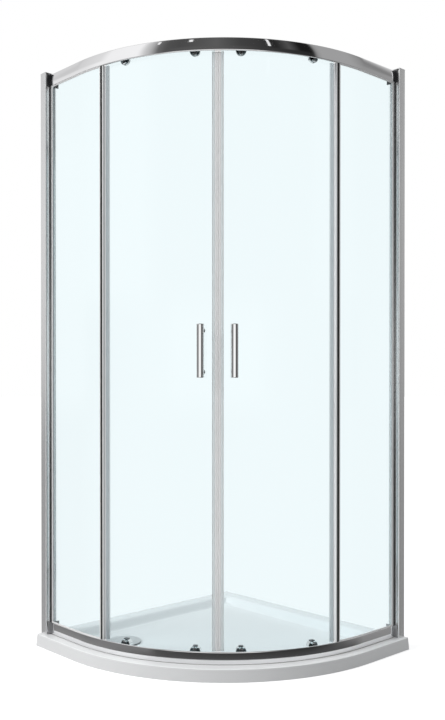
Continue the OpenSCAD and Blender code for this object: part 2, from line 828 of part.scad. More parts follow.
shower_tray();
waste_body();
waste_seal();
drain_cover();
hair_basket();
half(false) wall_profile();  // wall_profile_right
half(true) wall_profile();  // wall_profile_left
half(false) frame_profile();  // frame_profile_right
half(true) frame_profile();  // frame_profile_left
half(false) fixed_glass();  // fixed_glass_right
half(true) fixed_glass();  // fixed_glass_left
half(false) post();  // post_right
half(true) post();  // post_left
top_rail();
bottom_rail();
frame_gaskets();
rail_gaskets();
post_strips();
rail_end_caps();
frame_screws();
screw_caps();
profile_caps();
door_stops();
half(false) door_glass();  // door_glass_right
half(false) magnet_seal();  // magnet_seal_right
half(false) edge_seal();  // edge_seal_right
half(false) handle();  // handle_right
half(false) handle_screws();  // handle_screws_right
half(false) handle_gaskets();  // handle_gaskets_right
half(false) top_brackets();  // top_brackets_right
half(false) bottom_housings();  // bottom_housings_right
half(false) roller_fixings();  // roller_fixings_right
half(false) glass_bushes();  // glass_bushes_right
half(true) door_glass();  // door_glass_left
half(true) magnet_seal();  // magnet_seal_left
half(true) edge_seal();  // edge_seal_left
half(true) handle();  // handle_left
half(true) handle_screws();  // handle_screws_left
half(true) handle_gaskets();  // handle_gaskets_left
half(true) top_brackets();  // top_brackets_left
half(true) bottom_housings();  // bottom_housings_left
half(true) roller_fixings();  // roller_fixings_left
half(true) glass_bushes();  // glass_bushes_left
half(false) wheel(inner_a, true);  // top_wheel_right_inner
half(false) wheel(outer_a, true);  // top_wheel_right_outer
half(true) wheel(inner_a, true);  // top_wheel_left_inner
half(true) wheel(outer_a, true);  // top_wheel_left_outer
half(false) wheel(inner_a, false);  // bottom_wheel_right_inner
half(false) wheel(outer_a, false);  // bottom_wheel_right_outer
half(true) wheel(inner_a, false);  // bottom_wheel_left_inner
half(true) wheel(outer_a, false);  // bottom_wheel_left_outer
half(false) release_slider(inner_a);  // release_slider_right_inner
half(false) release_slider(outer_a);  // release_slider_right_outer
half(true) release_slider(inner_a);  // release_slider_left_inner
half(true) release_slider(outer_a);  // release_slider_left_outer
half(false) release_spring(inner_a);  // release_spring_right_inner
half(false) release_spring(outer_a);  // release_spring_right_outer
half(true) release_spring(inner_a);  // release_spring_left_inner
half(true) release_spring(outer_a);  // release_spring_left_outer
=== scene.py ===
# %% [markdown]
# # A curved corner shower enclosure
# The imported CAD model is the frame: it holds every solid at its real size and place. This notebook
# dresses it. Glass and polished metal show every facet, so the long pieces that curve round the
# front are worked out again as smooth surfaces. Pieces whose CAD shape is already right, such as
# the brackets and wheels, stay in view and only get a finish.

import bpy
import numpy as np
from math import cos, pi, radians, sin
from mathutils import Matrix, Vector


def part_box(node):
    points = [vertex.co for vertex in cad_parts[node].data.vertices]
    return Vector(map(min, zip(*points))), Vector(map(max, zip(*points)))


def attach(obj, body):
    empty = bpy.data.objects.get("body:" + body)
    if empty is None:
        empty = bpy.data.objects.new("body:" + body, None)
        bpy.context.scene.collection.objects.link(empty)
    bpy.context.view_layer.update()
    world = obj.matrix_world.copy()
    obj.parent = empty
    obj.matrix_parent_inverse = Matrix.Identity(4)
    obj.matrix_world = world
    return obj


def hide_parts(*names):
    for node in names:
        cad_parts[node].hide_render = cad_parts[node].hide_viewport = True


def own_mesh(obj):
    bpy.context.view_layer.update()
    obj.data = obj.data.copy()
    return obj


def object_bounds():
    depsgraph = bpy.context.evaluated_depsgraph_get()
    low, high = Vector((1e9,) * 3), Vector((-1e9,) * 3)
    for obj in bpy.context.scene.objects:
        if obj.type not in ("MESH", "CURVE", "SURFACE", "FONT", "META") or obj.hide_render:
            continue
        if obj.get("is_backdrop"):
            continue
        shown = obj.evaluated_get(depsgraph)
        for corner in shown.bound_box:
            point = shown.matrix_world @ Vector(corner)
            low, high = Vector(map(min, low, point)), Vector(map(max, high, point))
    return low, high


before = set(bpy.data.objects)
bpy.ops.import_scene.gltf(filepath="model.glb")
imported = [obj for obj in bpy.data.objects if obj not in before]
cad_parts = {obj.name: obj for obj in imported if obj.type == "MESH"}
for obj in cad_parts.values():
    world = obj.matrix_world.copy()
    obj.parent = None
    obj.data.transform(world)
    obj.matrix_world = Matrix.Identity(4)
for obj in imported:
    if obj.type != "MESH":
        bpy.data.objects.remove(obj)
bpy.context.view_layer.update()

# %% [markdown]
# ## Sizes
# The enclosure stands in the corner of a room, and nearly all of it follows one line: straight out
# from the right wall, round the curve, and straight back to the left wall. So a place on it is
# three lengths: s along that line from the nearer wall, m behind the rails' face, and z above the
# floor. Shared sizes are written once, in metres, as the CAD model has them. A size that only one
# piece needs is named beside that piece.

# %% Shared sizes
# Tray: width, height, radius of the curved front, and how far its apron flares out at the floor
TRAY_W, TRAY_H, TRAY_R, APRON_FLARE = 0.900, 0.040, 0.680, 0.004
# The origin lies under the middle of the whole object, this far from both walls
HALF = (TRAY_W + APRON_FLARE) / 2
# Rails: radius of the face, its distance in from the tray's edge, height, and the top one's upper edge
RAIL_R, RAIL_IN, RAIL_H, RAILS_TOP = 0.665, 0.032, 0.040, 1.965
# The curve's centre is this far from both walls, and the seam of the doors is this far along
CENTRE = TRAY_W - RAIL_IN - RAIL_R
HALF_RUN = CENTRE + RAIL_R * pi / 4
# A wall profile stands this far out from its wall, and a thin cap fills the gap to the rail's end
PROFILE_D, CAP_T = 0.031, 0.0025
RAIL_END = PROFILE_D + CAP_T
SIDES = (("right", False), ("left", True))
# A millimetre, for the outlines that are easier to read in millimetres
MM = 0.001
print("half of the front", round(HALF_RUN, 4), "m from wall to seam")

# %% [markdown]
# ## The line that everything follows
# The front could be drawn once as a Blender curve, and each piece bent along it with a Curve
# modifier. Working out the points is shorter and exact: one function turns s into a point and an
# outward direction, and the left half is the right half mirrored in the room's diagonal.

# %% Points on the front
def to_frame(points):
    """Points counted from the room's corner, moved into the frame's own axes."""
    return np.asarray(points, float) + np.array([-HALF, HALF, 0.0])


def along_front(s, left=False):
    """Where the rails' face lies at distance s from the wall, and its outward direction there.
    The face is straight as far as the curve's centre, then turns by the rest of s over the radius."""
    s = np.asarray(s, float)
    turn = np.clip(s - CENTRE, 0, None) / RAIL_R
    x = CENTRE + RAIL_R * np.cos(turn)
    y = -np.minimum(s, CENTRE) - RAIL_R * np.sin(turn)
    out_x, out_y = np.cos(turn), -np.sin(turn)
    if left:
        x, y, out_x, out_y = -y, -x, -out_y, -out_x
    return np.stack([x, y], -1), np.stack([out_x, out_y], -1)


def front_point(s, m, z, left=False):
    """The point at distance s from the wall, m behind the rails' face and z above the floor."""
    face, out = along_front(s, left)
    flat = face - np.asarray(m, float)[..., None] * out
    return to_frame(np.concatenate([flat, np.broadcast_to(z, flat.shape[:-1])[..., None]], -1))


print("seam", np.round(along_front(HALF_RUN)[0], 4), "m from the room's corner")

# %% [markdown]
# ## From arrays to meshes
# Nearly every piece here is a tube: a closed outline carried through a row of stations, with a flat
# face at both ends. A bevelled curve makes such shapes too, but an array lets each point be placed
# exactly. Neighbours in the array become the corners of a quad. Blender's own recalculation of
# normals can go wrong on a thin curved pane, so the tube's signed volume decides which way is out.

# %% Faces of a tube
def tube_faces(points):
    """Quads and two end faces of a closed tube, facing outwards. A fan of triangles over each face
    gives the signed volume: a sixth of the sum of corner . (second x third). Negative means
    that the faces point in, and all of them are turned."""
    rows, columns = points.shape[:2]
    number = np.arange(rows * columns).reshape(rows, columns)
    wrapped = np.hstack([number, number[:, :1]])
    quads = np.stack([wrapped[:-1, :-1], wrapped[1:, :-1], wrapped[1:, 1:], wrapped[:-1, 1:]], -1)
    quads = quads.reshape(-1, 4)
    ends = [number[0], number[-1][::-1]]
    fans = [np.stack([np.full(columns - 2, end[0]), end[1:-1], end[2:]], -1) for end in ends]
    triangles = np.concatenate([quads[:, [0, 1, 2]], quads[:, [0, 2, 3]], *fans])
    a, b, c = points.reshape(-1, 3)[triangles].transpose(1, 0, 2)
    if np.einsum("ij,ij->", a, np.cross(b, c)) < 0:
        quads, ends = quads[:, ::-1], [end[::-1] for end in ends]
    return quads, ends


box = np.array([[[0, 0, z], [1, 0, z], [1, 1, z], [0, 1, z]] for z in (0, 1)], float)
print("a box as a tube has", *(len(part) for part in tube_faces(box)), "sides and ends")

# %% [markdown]
# ## One mesh for each piece
# A piece may be several tubes, like a handle's bar and its studs. They go into one mesh, so the
# piece is one object with one name, and it rides on a body of the frame. Smooth shading runs over
# shallow edges and stops at sharp ones, as a Shade Auto Smooth would do it.

# %% Make a piece
def make_piece(name, tubes, materials, body, second=None, smooth=35):
    """One mesh object from a list of tubes. Columns from second[0] to second[1] of the first tube
    take the second material. Edges sharper than smooth degrees stay crisp."""
    points, faces, first = [], [], 0
    for tube in tubes:
        quads, ends = tube_faces(tube)
        points.append(tube.reshape(-1, 3))
        faces += (quads + first).tolist() + [(end + first).tolist() for end in ends]
        first += tube.shape[0] * tube.shape[1]
    mesh = bpy.data.meshes.new(name)
    mesh.from_pydata(np.concatenate(points).tolist(), [], faces)
    for material in materials:
        mesh.materials.append(material)
    if second:
        rows, columns = tubes[0].shape[:2]
        column = np.tile(np.arange(columns), rows - 1)
        slots = np.zeros(len(faces), dtype=np.int32)
        slots[: column.size] = (column >= second[0]) & (column < second[1])
        mesh.polygons.foreach_set("material_index", slots)
    mesh.validate()
    mesh.shade_smooth()
    mesh.set_sharp_from_angle(angle=radians(smooth))
    piece = bpy.data.objects.new(name, mesh)
    bpy.context.scene.collection.objects.link(piece)
    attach(piece, body)
    return piece


# %% [markdown]
# ## Eased corners
# No extruded or moulded edge is truly sharp, and the thin light along an eased edge is what makes
# metal look real. A Bevel modifier could add it. Here each outline is rounded before it is carried
# along, which costs few faces and keeps every edge the same all the way.

# %% Rounded outlines and upright tubes
# Shares of a rounded corner at which it gets a point. They lie close at both ends, so the flats
# beside the corner keep flat shading. The rails' inner corners and the panes' edges get only three.
ROUND_STEPS = np.array([0, 0.06, 0.22, 0.4, 0.6, 0.78, 0.94, 1.0])
FEW_STEPS = (0, 0.5, 1)


def rounded(loop, radius, steps=ROUND_STEPS):
    """A closed outline with each corner replaced by a quadratic curve. The corner is its middle
    control point, and it starts and ends at radius from it, or at 0.4 of a shorter side."""
    loop = np.asarray(loop, float)
    before, after = np.roll(loop, 1, 0) - loop, np.roll(loop, -1, 0) - loop
    reach_b = np.minimum(radius, 0.4 * np.linalg.norm(before, axis=1))[:, None]
    reach_a = np.minimum(radius, 0.4 * np.linalg.norm(after, axis=1))[:, None]
    start = loop + before / np.linalg.norm(before, axis=1)[:, None] * reach_b
    stop = loop + after / np.linalg.norm(after, axis=1)[:, None] * reach_a
    t = np.asarray(steps)[:, None, None]
    bend = (1 - t) ** 2 * start + 2 * t * (1 - t) * loop + t**2 * stop
    return bend.transpose(1, 0, 2).reshape(-1, 2)


def oblong(s0, s1, m0, m1):
    """The four corners of an oblong, from s0 to s1 one way and from m0 to m1 the other."""
    return [[s0, m0], [s1, m0], [s1, m1], [s0, m1]]


def upright(plan, z0, z1, left):
    """A tube that stands up: an outline of distances and depths, the same at z0 and at z1."""
    plan = np.asarray(plan, float)
    return np.stack([front_point(plan[:, 0], plan[:, 1], z, left) for z in (z0, z1)])


print("points on a square with eased corners", len(rounded(oblong(0, 1, 0, 1), 0.1)))

# %% [markdown]
# ## Finishes
# Every finish is a Principled surface whose constant numbers sit on its own sockets. Nodes can be
# placed and linked by hand in the Shader Editor. In a script three small helpers do that: one makes
# the material, one adds a node with its sockets set, and one links them.

# %% Material and node helpers
def new_material(name, **sockets):
    """A material with one Principled surface, its sockets set by name. In a socket's name, an
    underscore stands for a space."""
    material = bpy.data.materials.new(name)
    material.use_nodes = True
    surface = material.node_tree.nodes["Principled BSDF"]
    for socket, value in sockets.items():
        surface.inputs[socket.replace("_", " ")].default_value = value
    return material, surface


def add_node(tree, kind, operation=None, **inputs):
    """A node in the tree, with its operation where it has one, and its sockets set by name."""
    node = tree.nodes.new(kind)
    if operation:
        node.operation = operation
    for socket, value in inputs.items():
        node.inputs[socket.replace("_", " ")].default_value = value
    return node


def connect(tree, *pairs):
    """Link each output socket to the input socket beside it."""
    for source, target in pairs:
        tree.links.new(source, target)


print("materials before the first finish", len(bpy.data.materials))

# %% [markdown]
# ## Uneven surfaces
# No real metal or plastic is quite even. An image could give that slight unevenness, but noise on
# Object coordinates needs no unwrapping and stays sharp at any distance. It mixes two close colours
# and swings the roughness.

# %% Noise in colour and roughness
# Height of a bump at full strength
BUMP_DEPTH = 0.0002


def vary(material, surface, colour, other, scale, rough, stretch=(1, 1, 1), bump=0.0):
    """Noise at scale, stretched along the axes, mixes colour with other. The same noise moves the
    roughness from rough[0] to rough[1], and a bump raises the surface a little with it."""
    tree = material.node_tree
    place = add_node(tree, "ShaderNodeTexCoord")
    mapping = add_node(tree, "ShaderNodeMapping", Scale=stretch)
    noise = add_node(tree, "ShaderNodeTexNoise", Scale=scale, Detail=4.0, Roughness=0.55)
    mix = add_node(tree, "ShaderNodeMix")
    mix.data_type = "RGBA"
    mix.inputs["A"].default_value = (*colour, 1)
    mix.inputs["B"].default_value = (*other, 1)
    spread = add_node(tree, "ShaderNodeMapRange", To_Min=rough[0], To_Max=rough[1])
    connect(
        tree,
        (place.outputs["Object"], mapping.inputs["Vector"]),
        (mapping.outputs["Vector"], noise.inputs["Vector"]),
        (noise.outputs["Fac"], mix.inputs["Factor"]),
        (mix.outputs["Result"], surface.inputs["Base Color"]),
        (noise.outputs["Fac"], spread.inputs["Value"]),
        (spread.outputs["Result"], surface.inputs["Roughness"]),
    )
    if bump:
        raised = add_node(tree, "ShaderNodeBump", Strength=bump, Distance=BUMP_DEPTH)
        connect(
            tree,
            (noise.outputs["Fac"], raised.inputs["Height"]),
            (raised.outputs["Normal"], surface.inputs["Normal"]),
        )


print("bump up to", BUMP_DEPTH / MM, "mm")

# %% [markdown]
# ## Metals
# The rails are polished aluminium, nearly a mirror. The wall profiles and side frames are satin,
# with a grain along their length: the noise is squeezed across and drawn out upwards. A metallic
# share below 1 stands for the milky anodised layer on top. The posts are aluminium too, but their
# bright reflection is painted: they get an almost white colour and no metallic share at all.
# Roughness from a range, and not one number, breaks up the reflections as a rolled or ground
# surface does.

# %% Metal finishes
ALONG_GRAIN = (8, 8, 0.15)


def metal(name, colour, other, rough, scale=9.0, stretch=(1, 1, 1), metallic=1.0):
    """A metal that varies between two close colours."""
    material, surface = new_material(name, Metallic=metallic, IOR=1.45)
    vary(material, surface, colour, other, scale, rough, stretch)
    return material


bright_metal = metal("bright_polished_rail", (0.86, 0.86, 0.87), (0.9, 0.9, 0.91), (0.035, 0.06))
# The channels are the rails' own aluminium, painted dark: this is painted shade
painted_shade_channel_metal = metal("painted_shade_rail_channel", (0.16, 0.16, 0.165), (0.24, 0.24, 0.245), (0.4, 0.55),
                      30.0, metallic=0.8)
chrome = metal("chrome_plate", (0.9, 0.905, 0.91), (0.94, 0.94, 0.945), (0.03, 0.06), 40.0)
satin_metal = metal("satin_wall_profile", (0.74, 0.74, 0.745), (0.82, 0.82, 0.825), (0.2, 0.3),
                    60.0, ALONG_GRAIN, 0.75)
frame_metal = metal("bright_side_frame", (0.66, 0.665, 0.67), (0.74, 0.745, 0.75), (0.14, 0.22),
                    60.0, ALONG_GRAIN, 0.9)
# Painted reflection: an almost white, non-metallic colour for the bright light that the aluminium posts,
# wall lips and back leaves mirror
painted_reflection_post_metal = metal("pale_post_painted_reflection", (0.93, 0.93, 0.93), (0.96, 0.96, 0.96), (0.28, 0.36),
                   60.0, ALONG_GRAIN, 0.0)
cover_metal = metal("satin_drain_cover", (0.62, 0.63, 0.64), (0.68, 0.69, 0.7), (0.3, 0.4),
                    80.0, metallic=0.5)
steel = metal("plain_steel", (0.55, 0.56, 0.58), (0.66, 0.66, 0.68), (0.22, 0.36), 160.0)
print("materials so far, with the frame's own", len(bpy.data.materials))

# %% [markdown]
# ## Glass
# Toughened glass is a clear solid with a faint green-blue body. Plain transparency would lose its
# reflections and bright edges, and full refraction gives grainy shadows, so the ray decides. What
# the eye follows goes through a real refracting surface. Shadow and diffuse rays pass through
# plain tinted clearness, so the lamps reach the tray behind the panes without noise. The panes'
# index, 1.32, is lower than real glass's 1.5, which keeps their reflections as faint as they look.

# %% Clear materials
def clear(name, tint, rough, ior, shade):
    """A refracting surface in the colour tint, which lets shadow and diffuse rays through as shade."""
    material, surface = new_material(
        name, Base_Color=(*tint, 1), Transmission_Weight=1.0, Roughness=rough, IOR=ior
    )
    tree = material.node_tree
    open_way = add_node(tree, "ShaderNodeBsdfTransparent", Color=(*shade, 1))
    path = add_node(tree, "ShaderNodeLightPath")
    either = add_node(tree, "ShaderNodeMath", "MAXIMUM")
    mix = add_node(tree, "ShaderNodeMixShader")
    connect(
        tree,
        (path.outputs["Is Shadow Ray"], either.inputs[0]),
        (path.outputs["Is Diffuse Ray"], either.inputs[1]),
        (either.outputs["Value"], mix.inputs["Fac"]),
        (surface.outputs["BSDF"], mix.inputs[1]),
        (open_way.outputs["BSDF"], mix.inputs[2]),
        (mix.outputs["Shader"], tree.nodes["Material Output"].inputs["Surface"]),
    )
    return material


pane_glass = clear("clear_pane_glass", (0.885, 0.975, 0.995), 0.0, 1.32, (0.97, 0.99, 0.995))
clear_seal = clear("translucent_seal", (0.74, 0.75, 0.76), 0.3, 1.35, (0.85, 0.86, 0.87))
print("clear materials", pane_glass.name, clear_seal.name)

# %% [markdown]
# ## Plastics, rubber and the tray
# The tray is white acrylic or stone resin with a thin glossy skin, which is a coat over a softer
# surface. Caps, wheels and gaskets are small moulded pieces. A faint bump on the same noise as
# their colour gives them the skin of a moulding, and rubber is the roughest of them. The closing
# seals are milky: part of the light goes through them, and part stops at the surface.

# %% Plastic finishes
def plastic(name, colour, other, rough, scale=60.0, coat=0.0, bump=0.05):
    """A plastic or rubber that varies between two close colours."""
    material, surface = new_material(name, Coat_Weight=coat, Coat_Roughness=0.08, IOR=1.5)
    vary(material, surface, colour, other, scale, rough, bump=bump)
    return material


tray_white = plastic("gloss_white_tray", (0.86, 0.865, 0.87), (0.84, 0.845, 0.85), (0.22, 0.3),
                     3.0, 0.25, 0.0)
milky_seal = plastic("milky_seal", (0.92, 0.92, 0.92), (0.87, 0.875, 0.88), (0.3, 0.42), 90.0)
milky_seal.node_tree.nodes["Principled BSDF"].inputs["Transmission Weight"].default_value = 0.7
white_plastic = plastic("white_wheel_plastic", (0.78, 0.78, 0.76), (0.72, 0.72, 0.7), (0.35, 0.5))
grey_plastic = plastic("grey_plastic", (0.42, 0.43, 0.44), (0.36, 0.37, 0.38), (0.35, 0.5))
dark_plastic = plastic("dark_button_plastic", (0.08, 0.085, 0.095), (0.06, 0.065, 0.07), (0.25, 0.4))
pale_rubber = plastic("pale_gasket_rubber", (0.82, 0.82, 0.82), (0.76, 0.76, 0.76), (0.5, 0.65))
white_rubber = plastic("white_gasket_rubber", (0.95, 0.95, 0.95), (0.91, 0.91, 0.91), (0.5, 0.65))
black_rubber = plastic("black_rubber", (0.02, 0.02, 0.02), (0.035, 0.035, 0.035), (0.6, 0.75))
grey_foot_line_finish = plastic("grey_rail_foot_line", (0.28, 0.28, 0.28), (0.34, 0.34, 0.34), (0.6, 0.75))
cap_plastic = plastic("rail_cap_plastic", (0.02, 0.02, 0.022), (0.03, 0.03, 0.032), (0.35, 0.5))
print("materials so far, with the frame's own", len(bpy.data.materials))

# %% [markdown]
# ## Two colours of rail cap
# A thin plastic cap closes each end of both rails. The two on the top rail are black and the two
# below are grey, but all four are one CAD node with one material slot. The height on the node
# picks the colour, which leaves the node as it is.

# %% Grey below, black above
CAP_GREY, CAP_SWITCH_FROM, CAP_SWITCH_TO = (0.4, 0.4, 0.41, 1), 0.9, 1.1
tree = cap_plastic.node_tree
cap_colour = tree.nodes["Principled BSDF"].inputs["Base Color"]
place = add_node(tree, "ShaderNodeTexCoord")
parts = add_node(tree, "ShaderNodeSeparateXYZ")
above = add_node(tree, "ShaderNodeMapRange", From_Min=CAP_SWITCH_FROM, From_Max=CAP_SWITCH_TO)
cap_mix = add_node(tree, "ShaderNodeMix")
cap_mix.data_type = "RGBA"
cap_mix.inputs["A"].default_value = CAP_GREY
connect(
    tree,
    (cap_colour.links[0].from_socket, cap_mix.inputs["B"]),
    (place.outputs["Object"], parts.inputs["Vector"]),
    (parts.outputs["Z"], above.inputs["Value"]),
    (above.outputs["Result"], cap_mix.inputs["Factor"]),
    (cap_mix.outputs["Result"], cap_colour),
)
print("caps change colour at", (CAP_SWITCH_FROM + CAP_SWITCH_TO) / 2, "m")

# %% [markdown]
# ## Dress the CAD nodes
# Each CAD node takes one of these finishes in its own material slot. The nodes could be listed one
# by one, but a left and a right piece differ only in the end of their names, so the first words
# are enough. The first entry that fits is taken, so the handles' small parts come before handle_.

# %% Finish the CAD nodes
FINISHES = {
    "shower_tray": tray_white, "waste_body": grey_plastic, "waste_seal": black_rubber,
    "drain_cover": cover_metal, "hair_basket": grey_plastic, "wall_profile": satin_metal,
    "frame_profile": frame_metal, "fixed_glass": pane_glass, "post_right": painted_reflection_post_metal,
    "post_left": painted_reflection_post_metal, "top_rail": bright_metal, "bottom_rail": bright_metal,
    "frame_gaskets": white_rubber, "rail_gaskets": pale_rubber, "post_strips": clear_seal,
    "rail_end_caps": cap_plastic, "frame_screws": steel, "screw_caps": grey_plastic,
    "profile_caps": satin_metal, "door_stops": black_rubber, "door_glass": pane_glass,
    "magnet_seal": milky_seal, "edge_seal": clear_seal, "handle_screws": chrome,
    "handle_gaskets": clear_seal, "handle_": chrome, "top_brackets": chrome,
    "bottom_housings": chrome, "roller_fixings": chrome, "glass_bushes": pale_rubber,
    "top_wheel": white_plastic, "bottom_wheel": white_plastic, "release_slider": dark_plastic,
    "release_spring": steel,
}
for node_name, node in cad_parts.items():
    finish = next(material for start, material in FINISHES.items() if node_name.startswith(start))
    node.data.materials.clear()
    node.data.materials.append(finish)
print("finished", len(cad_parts), "nodes")

# %% [markdown]
# ## The rails
# Each rail is one long aluminium extrusion bent to the curve: a gently crowned face, a slot for the
# fixed pane, a track with a rib for the wheels and an upstand at the back. The same section serves
# both, turned over for the top one. Its heights count from the rail's outer edge, so the floor of
# the bottom rail and the roof of the top one are at nought. The crown is a shallow parabola: on a
# flat face the whole rail would mirror one height of the room, and the light would not run along it.

# %% The face of the section
# Rise of the crown, thickness of the front lip, and the height that each long edge's round takes
CROWN, LIP_T, FACE_ROUND = 0.0014, 0.0033, 0.0016
# Depth at which the rounds end, and height at which the lip's inner side starts
LIP_EDGE, LIP_TOP = LIP_T - 0.0002, RAIL_H - 0.0004
FACE_POINTS = 15


def bend(start, corner, stop, steps=7):
    """Points of a quadratic curve from start to stop that aims at corner from both."""
    t = np.linspace(0, 1, steps)[:, None]
    return (1 - t) ** 2 * np.array(start) + 2 * t * (1 - t) * np.array(corner) + t**2 * np.array(stop)


face_z = np.linspace(FACE_ROUND, RAIL_H - FACE_ROUND, FACE_POINTS)
face_m = CROWN * (2 * face_z / RAIL_H - 1) ** 2
foot_round = bend([LIP_EDGE, 0], [CROWN, 0], [face_m[0], face_z[0]])
head_round = bend([face_m[-1], face_z[-1]], [CROWN, RAIL_H], [LIP_EDGE, RAIL_H])
front_part = np.vstack([foot_round, np.stack([face_m, face_z], -1)[1:-1], head_round])
print("face of the rail", len(front_part), "points")

# %% [markdown]
# Behind the lip come the slot for the pane, a divider, the shelf with the wheels' rib under it,
# the open channel that they run in, and the upstand at the back. The section is walked round in
# that order. The face and the back are polished. All that lies between them is the same metal
# painted dark, as painted shade, because little light gets in there.

# %% The channels behind the face
# How much the small corners are eased, in metres. The other sizes of this cell are in millimetres.
CORNER = 0.0004
# Thickness of the walls, floor of the pane's slot, and the divider's front and end
WALL, SLOT_Z, DIVIDER_M, DIVIDER_Z = 1.8, 19.8, 13.2, 36
# Shelf over the wheels: its underside and back edge. Rib under it: front, back and depth
SHELF_Z, SHELF_M, RIB_M0, RIB_M1, RIB_Z = 28, 22, 19.2, 20.8, 26
# Upstand at the back: depth of the rail and height of its edge
BACK_M, BACK_Z = 38, 12
TRACK_M = DIVIDER_M + WALL
channel = MM * np.array([
    [LIP_T / MM, SLOT_Z], [DIVIDER_M, SLOT_Z], [DIVIDER_M, DIVIDER_Z], [TRACK_M, DIVIDER_Z],
    [TRACK_M, SHELF_Z + WALL], [SHELF_M, SHELF_Z + WALL], [SHELF_M, SHELF_Z], [RIB_M1, SHELF_Z],
    [RIB_M1, RIB_Z], [RIB_M0, RIB_Z], [RIB_M0, SHELF_Z], [TRACK_M, SHELF_Z], [TRACK_M, WALL],
    [BACK_M - WALL, WALL], [BACK_M - WALL, BACK_Z], [BACK_M, BACK_Z], [BACK_M, 0],
])
# The first and last corners of the ring belong to the face, so their rounds are left out
ring = np.vstack([[LIP_T, LIP_TOP], channel, [LIP_T, 0]])
a_round = len(FEW_STEPS)
channel_part = rounded(ring, CORNER, FEW_STEPS)[a_round:-a_round]
RAIL_SECTION = np.vstack([front_part, [[LIP_T, LIP_TOP]], channel_part])
POLISHED_BACK = 5
# Columns between these two take the dark channel colour, which is painted shade
SHADED_FROM, SHADED_TO = len(front_part), len(RAIL_SECTION) - POLISHED_BACK
print("whole section", len(RAIL_SECTION), "points, dull between", SHADED_FROM, "and", SHADED_TO)

# %% [markdown]
# ## Carried along the front
# A section is swept by giving each of its points every distance s at once, as one grid. The
# straight ends need one step. The curve has a station every 5 mm, because a polished face shows a
# coarser one as a row of flat mirrors.

# %% Sweep helpers
STATION = 0.005


def front_stations(start, stop):
    """Distances along the front: the straight ends in one step, the curve in short ones."""
    curve_end = min(stop, 2 * HALF_RUN - CENTRE)
    curve = np.arange(max(start, CENTRE), curve_end, STATION)
    return np.unique(np.concatenate([[start], curve, [curve_end, stop]]))


def whole_front(s, m, z):
    """As front_point, but s runs on past the seam to the other wall, where the front is mirrored."""
    right = front_point(np.minimum(s, HALF_RUN), m, z)
    left = front_point(np.minimum(2 * HALF_RUN - s, HALF_RUN), m, z, left=True)
    return np.where((s <= HALF_RUN)[..., None], right, left)


def swept(section, start, stop, place=whole_front, **extra):
    """A closed outline of depth and height carried along the front from start to stop."""
    s = front_stations(start, stop)
    s_grid, m_grid = np.meshgrid(s, section[:, 0], indexing="ij")
    return place(s_grid, m_grid, np.broadcast_to(section[:, 1], m_grid.shape), **extra)


def in_rail(section, top):
    """Heights counted from a rail's outer edge, turned into heights above the floor."""
    section = np.array(section, float)
    section[:, 1] = RAILS_TOP - section[:, 1] if top else TRAY_H + section[:, 1]
    return section


print("stations from wall to wall", len(front_stations(RAIL_END, 2 * HALF_RUN - RAIL_END)))

# %% [markdown]
# Both rails are this one section, carried from cap to cap, and the top rail has it upside down.
# They stand in for the CAD's rails, whose coarser arcs stay out of sight and serve for collision.

# %% Top and bottom rails
for rail, top in (("bottom_rail", False), ("top_rail", True)):
    tube = swept(in_rail(RAIL_SECTION, top), RAIL_END, 2 * HALF_RUN - RAIL_END)
    piece = make_piece(
        f"{rail}_smooth", [tube], [bright_metal, painted_shade_channel_metal], "enclosure", (SHADED_FROM, SHADED_TO)
    )
    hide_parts(rail)
    print(piece.name, *tube.shape[:2], "stations and points")

# %% [markdown]
# ## The line at the rail's foot
# A thin grey line runs along the bottom rail's foot, under the face, where it meets the tray. It
# could be painted on the rail, but as a piece of its own it casts a fine shadow.

# %% Grey line at the foot
FOOT_OUTLINE = MM * np.array([[0.4, 0], [3.0, 0], [2.2, 0.7], [1.1, 1.5]])
FOOT_EASE = 0.0002
foot = in_rail(rounded(FOOT_OUTLINE, FOOT_EASE), False)
foot_line = make_piece(
    "rail_foot_line", [swept(foot, RAIL_END, 2 * HALF_RUN - RAIL_END)], [grey_foot_line_finish], "enclosure"
)
print("sealant line", round(FOOT_OUTLINE[:, 1].max() / MM, 2), "mm high")

# %% [markdown]
# ## The panes
# The fixed panes stand in the rails' slots, and each door's pane hangs 12 mm behind them. Glass is
# bent in a furnace over a mould of one curve, so every pane is the same plain oblong section, with
# ground edges, carried along a part of the front. A solid pane, and not a single sheet, is needed
# for the dark line that real glass shows at its edges.

# %% Glass panes
# Thickness of the glass, and how much is ground off each edge
GLASS_T, GLASS_EDGE = 0.006, 0.0005
# Depth of each pane's front, and how far its edges lie inside the rails' outer edges
FIXED_M, DOOR_M = 0.0053, 0.0170
FIXED_EDGE, DOOR_EDGE = 0.0215, 0.031
# Where each pane starts and stops along the front
PANE_START, PANE_STOP = 0.034, HALF_RUN - 0.408
DOOR_START, DOOR_STOP = HALF_RUN - 0.398, HALF_RUN - 0.0097
# Every edge of a pane steeper than this stays crisp: a smoothed one would tilt the shading of the
# whole tall face beside it, and the pane would bend what is seen through it like a lens.
PANE_SMOOTH = 15


def pane(s0, s1, m0, edge, left):
    """A pane from s0 to s1 with its front at depth m0, its long edges edge inside the rails."""
    section = rounded(
        oblong(m0, m0 + GLASS_T, TRAY_H + edge, RAILS_TOP - edge), GLASS_EDGE, FEW_STEPS
    )
    return swept(section, s0, s1, front_point, left=left)


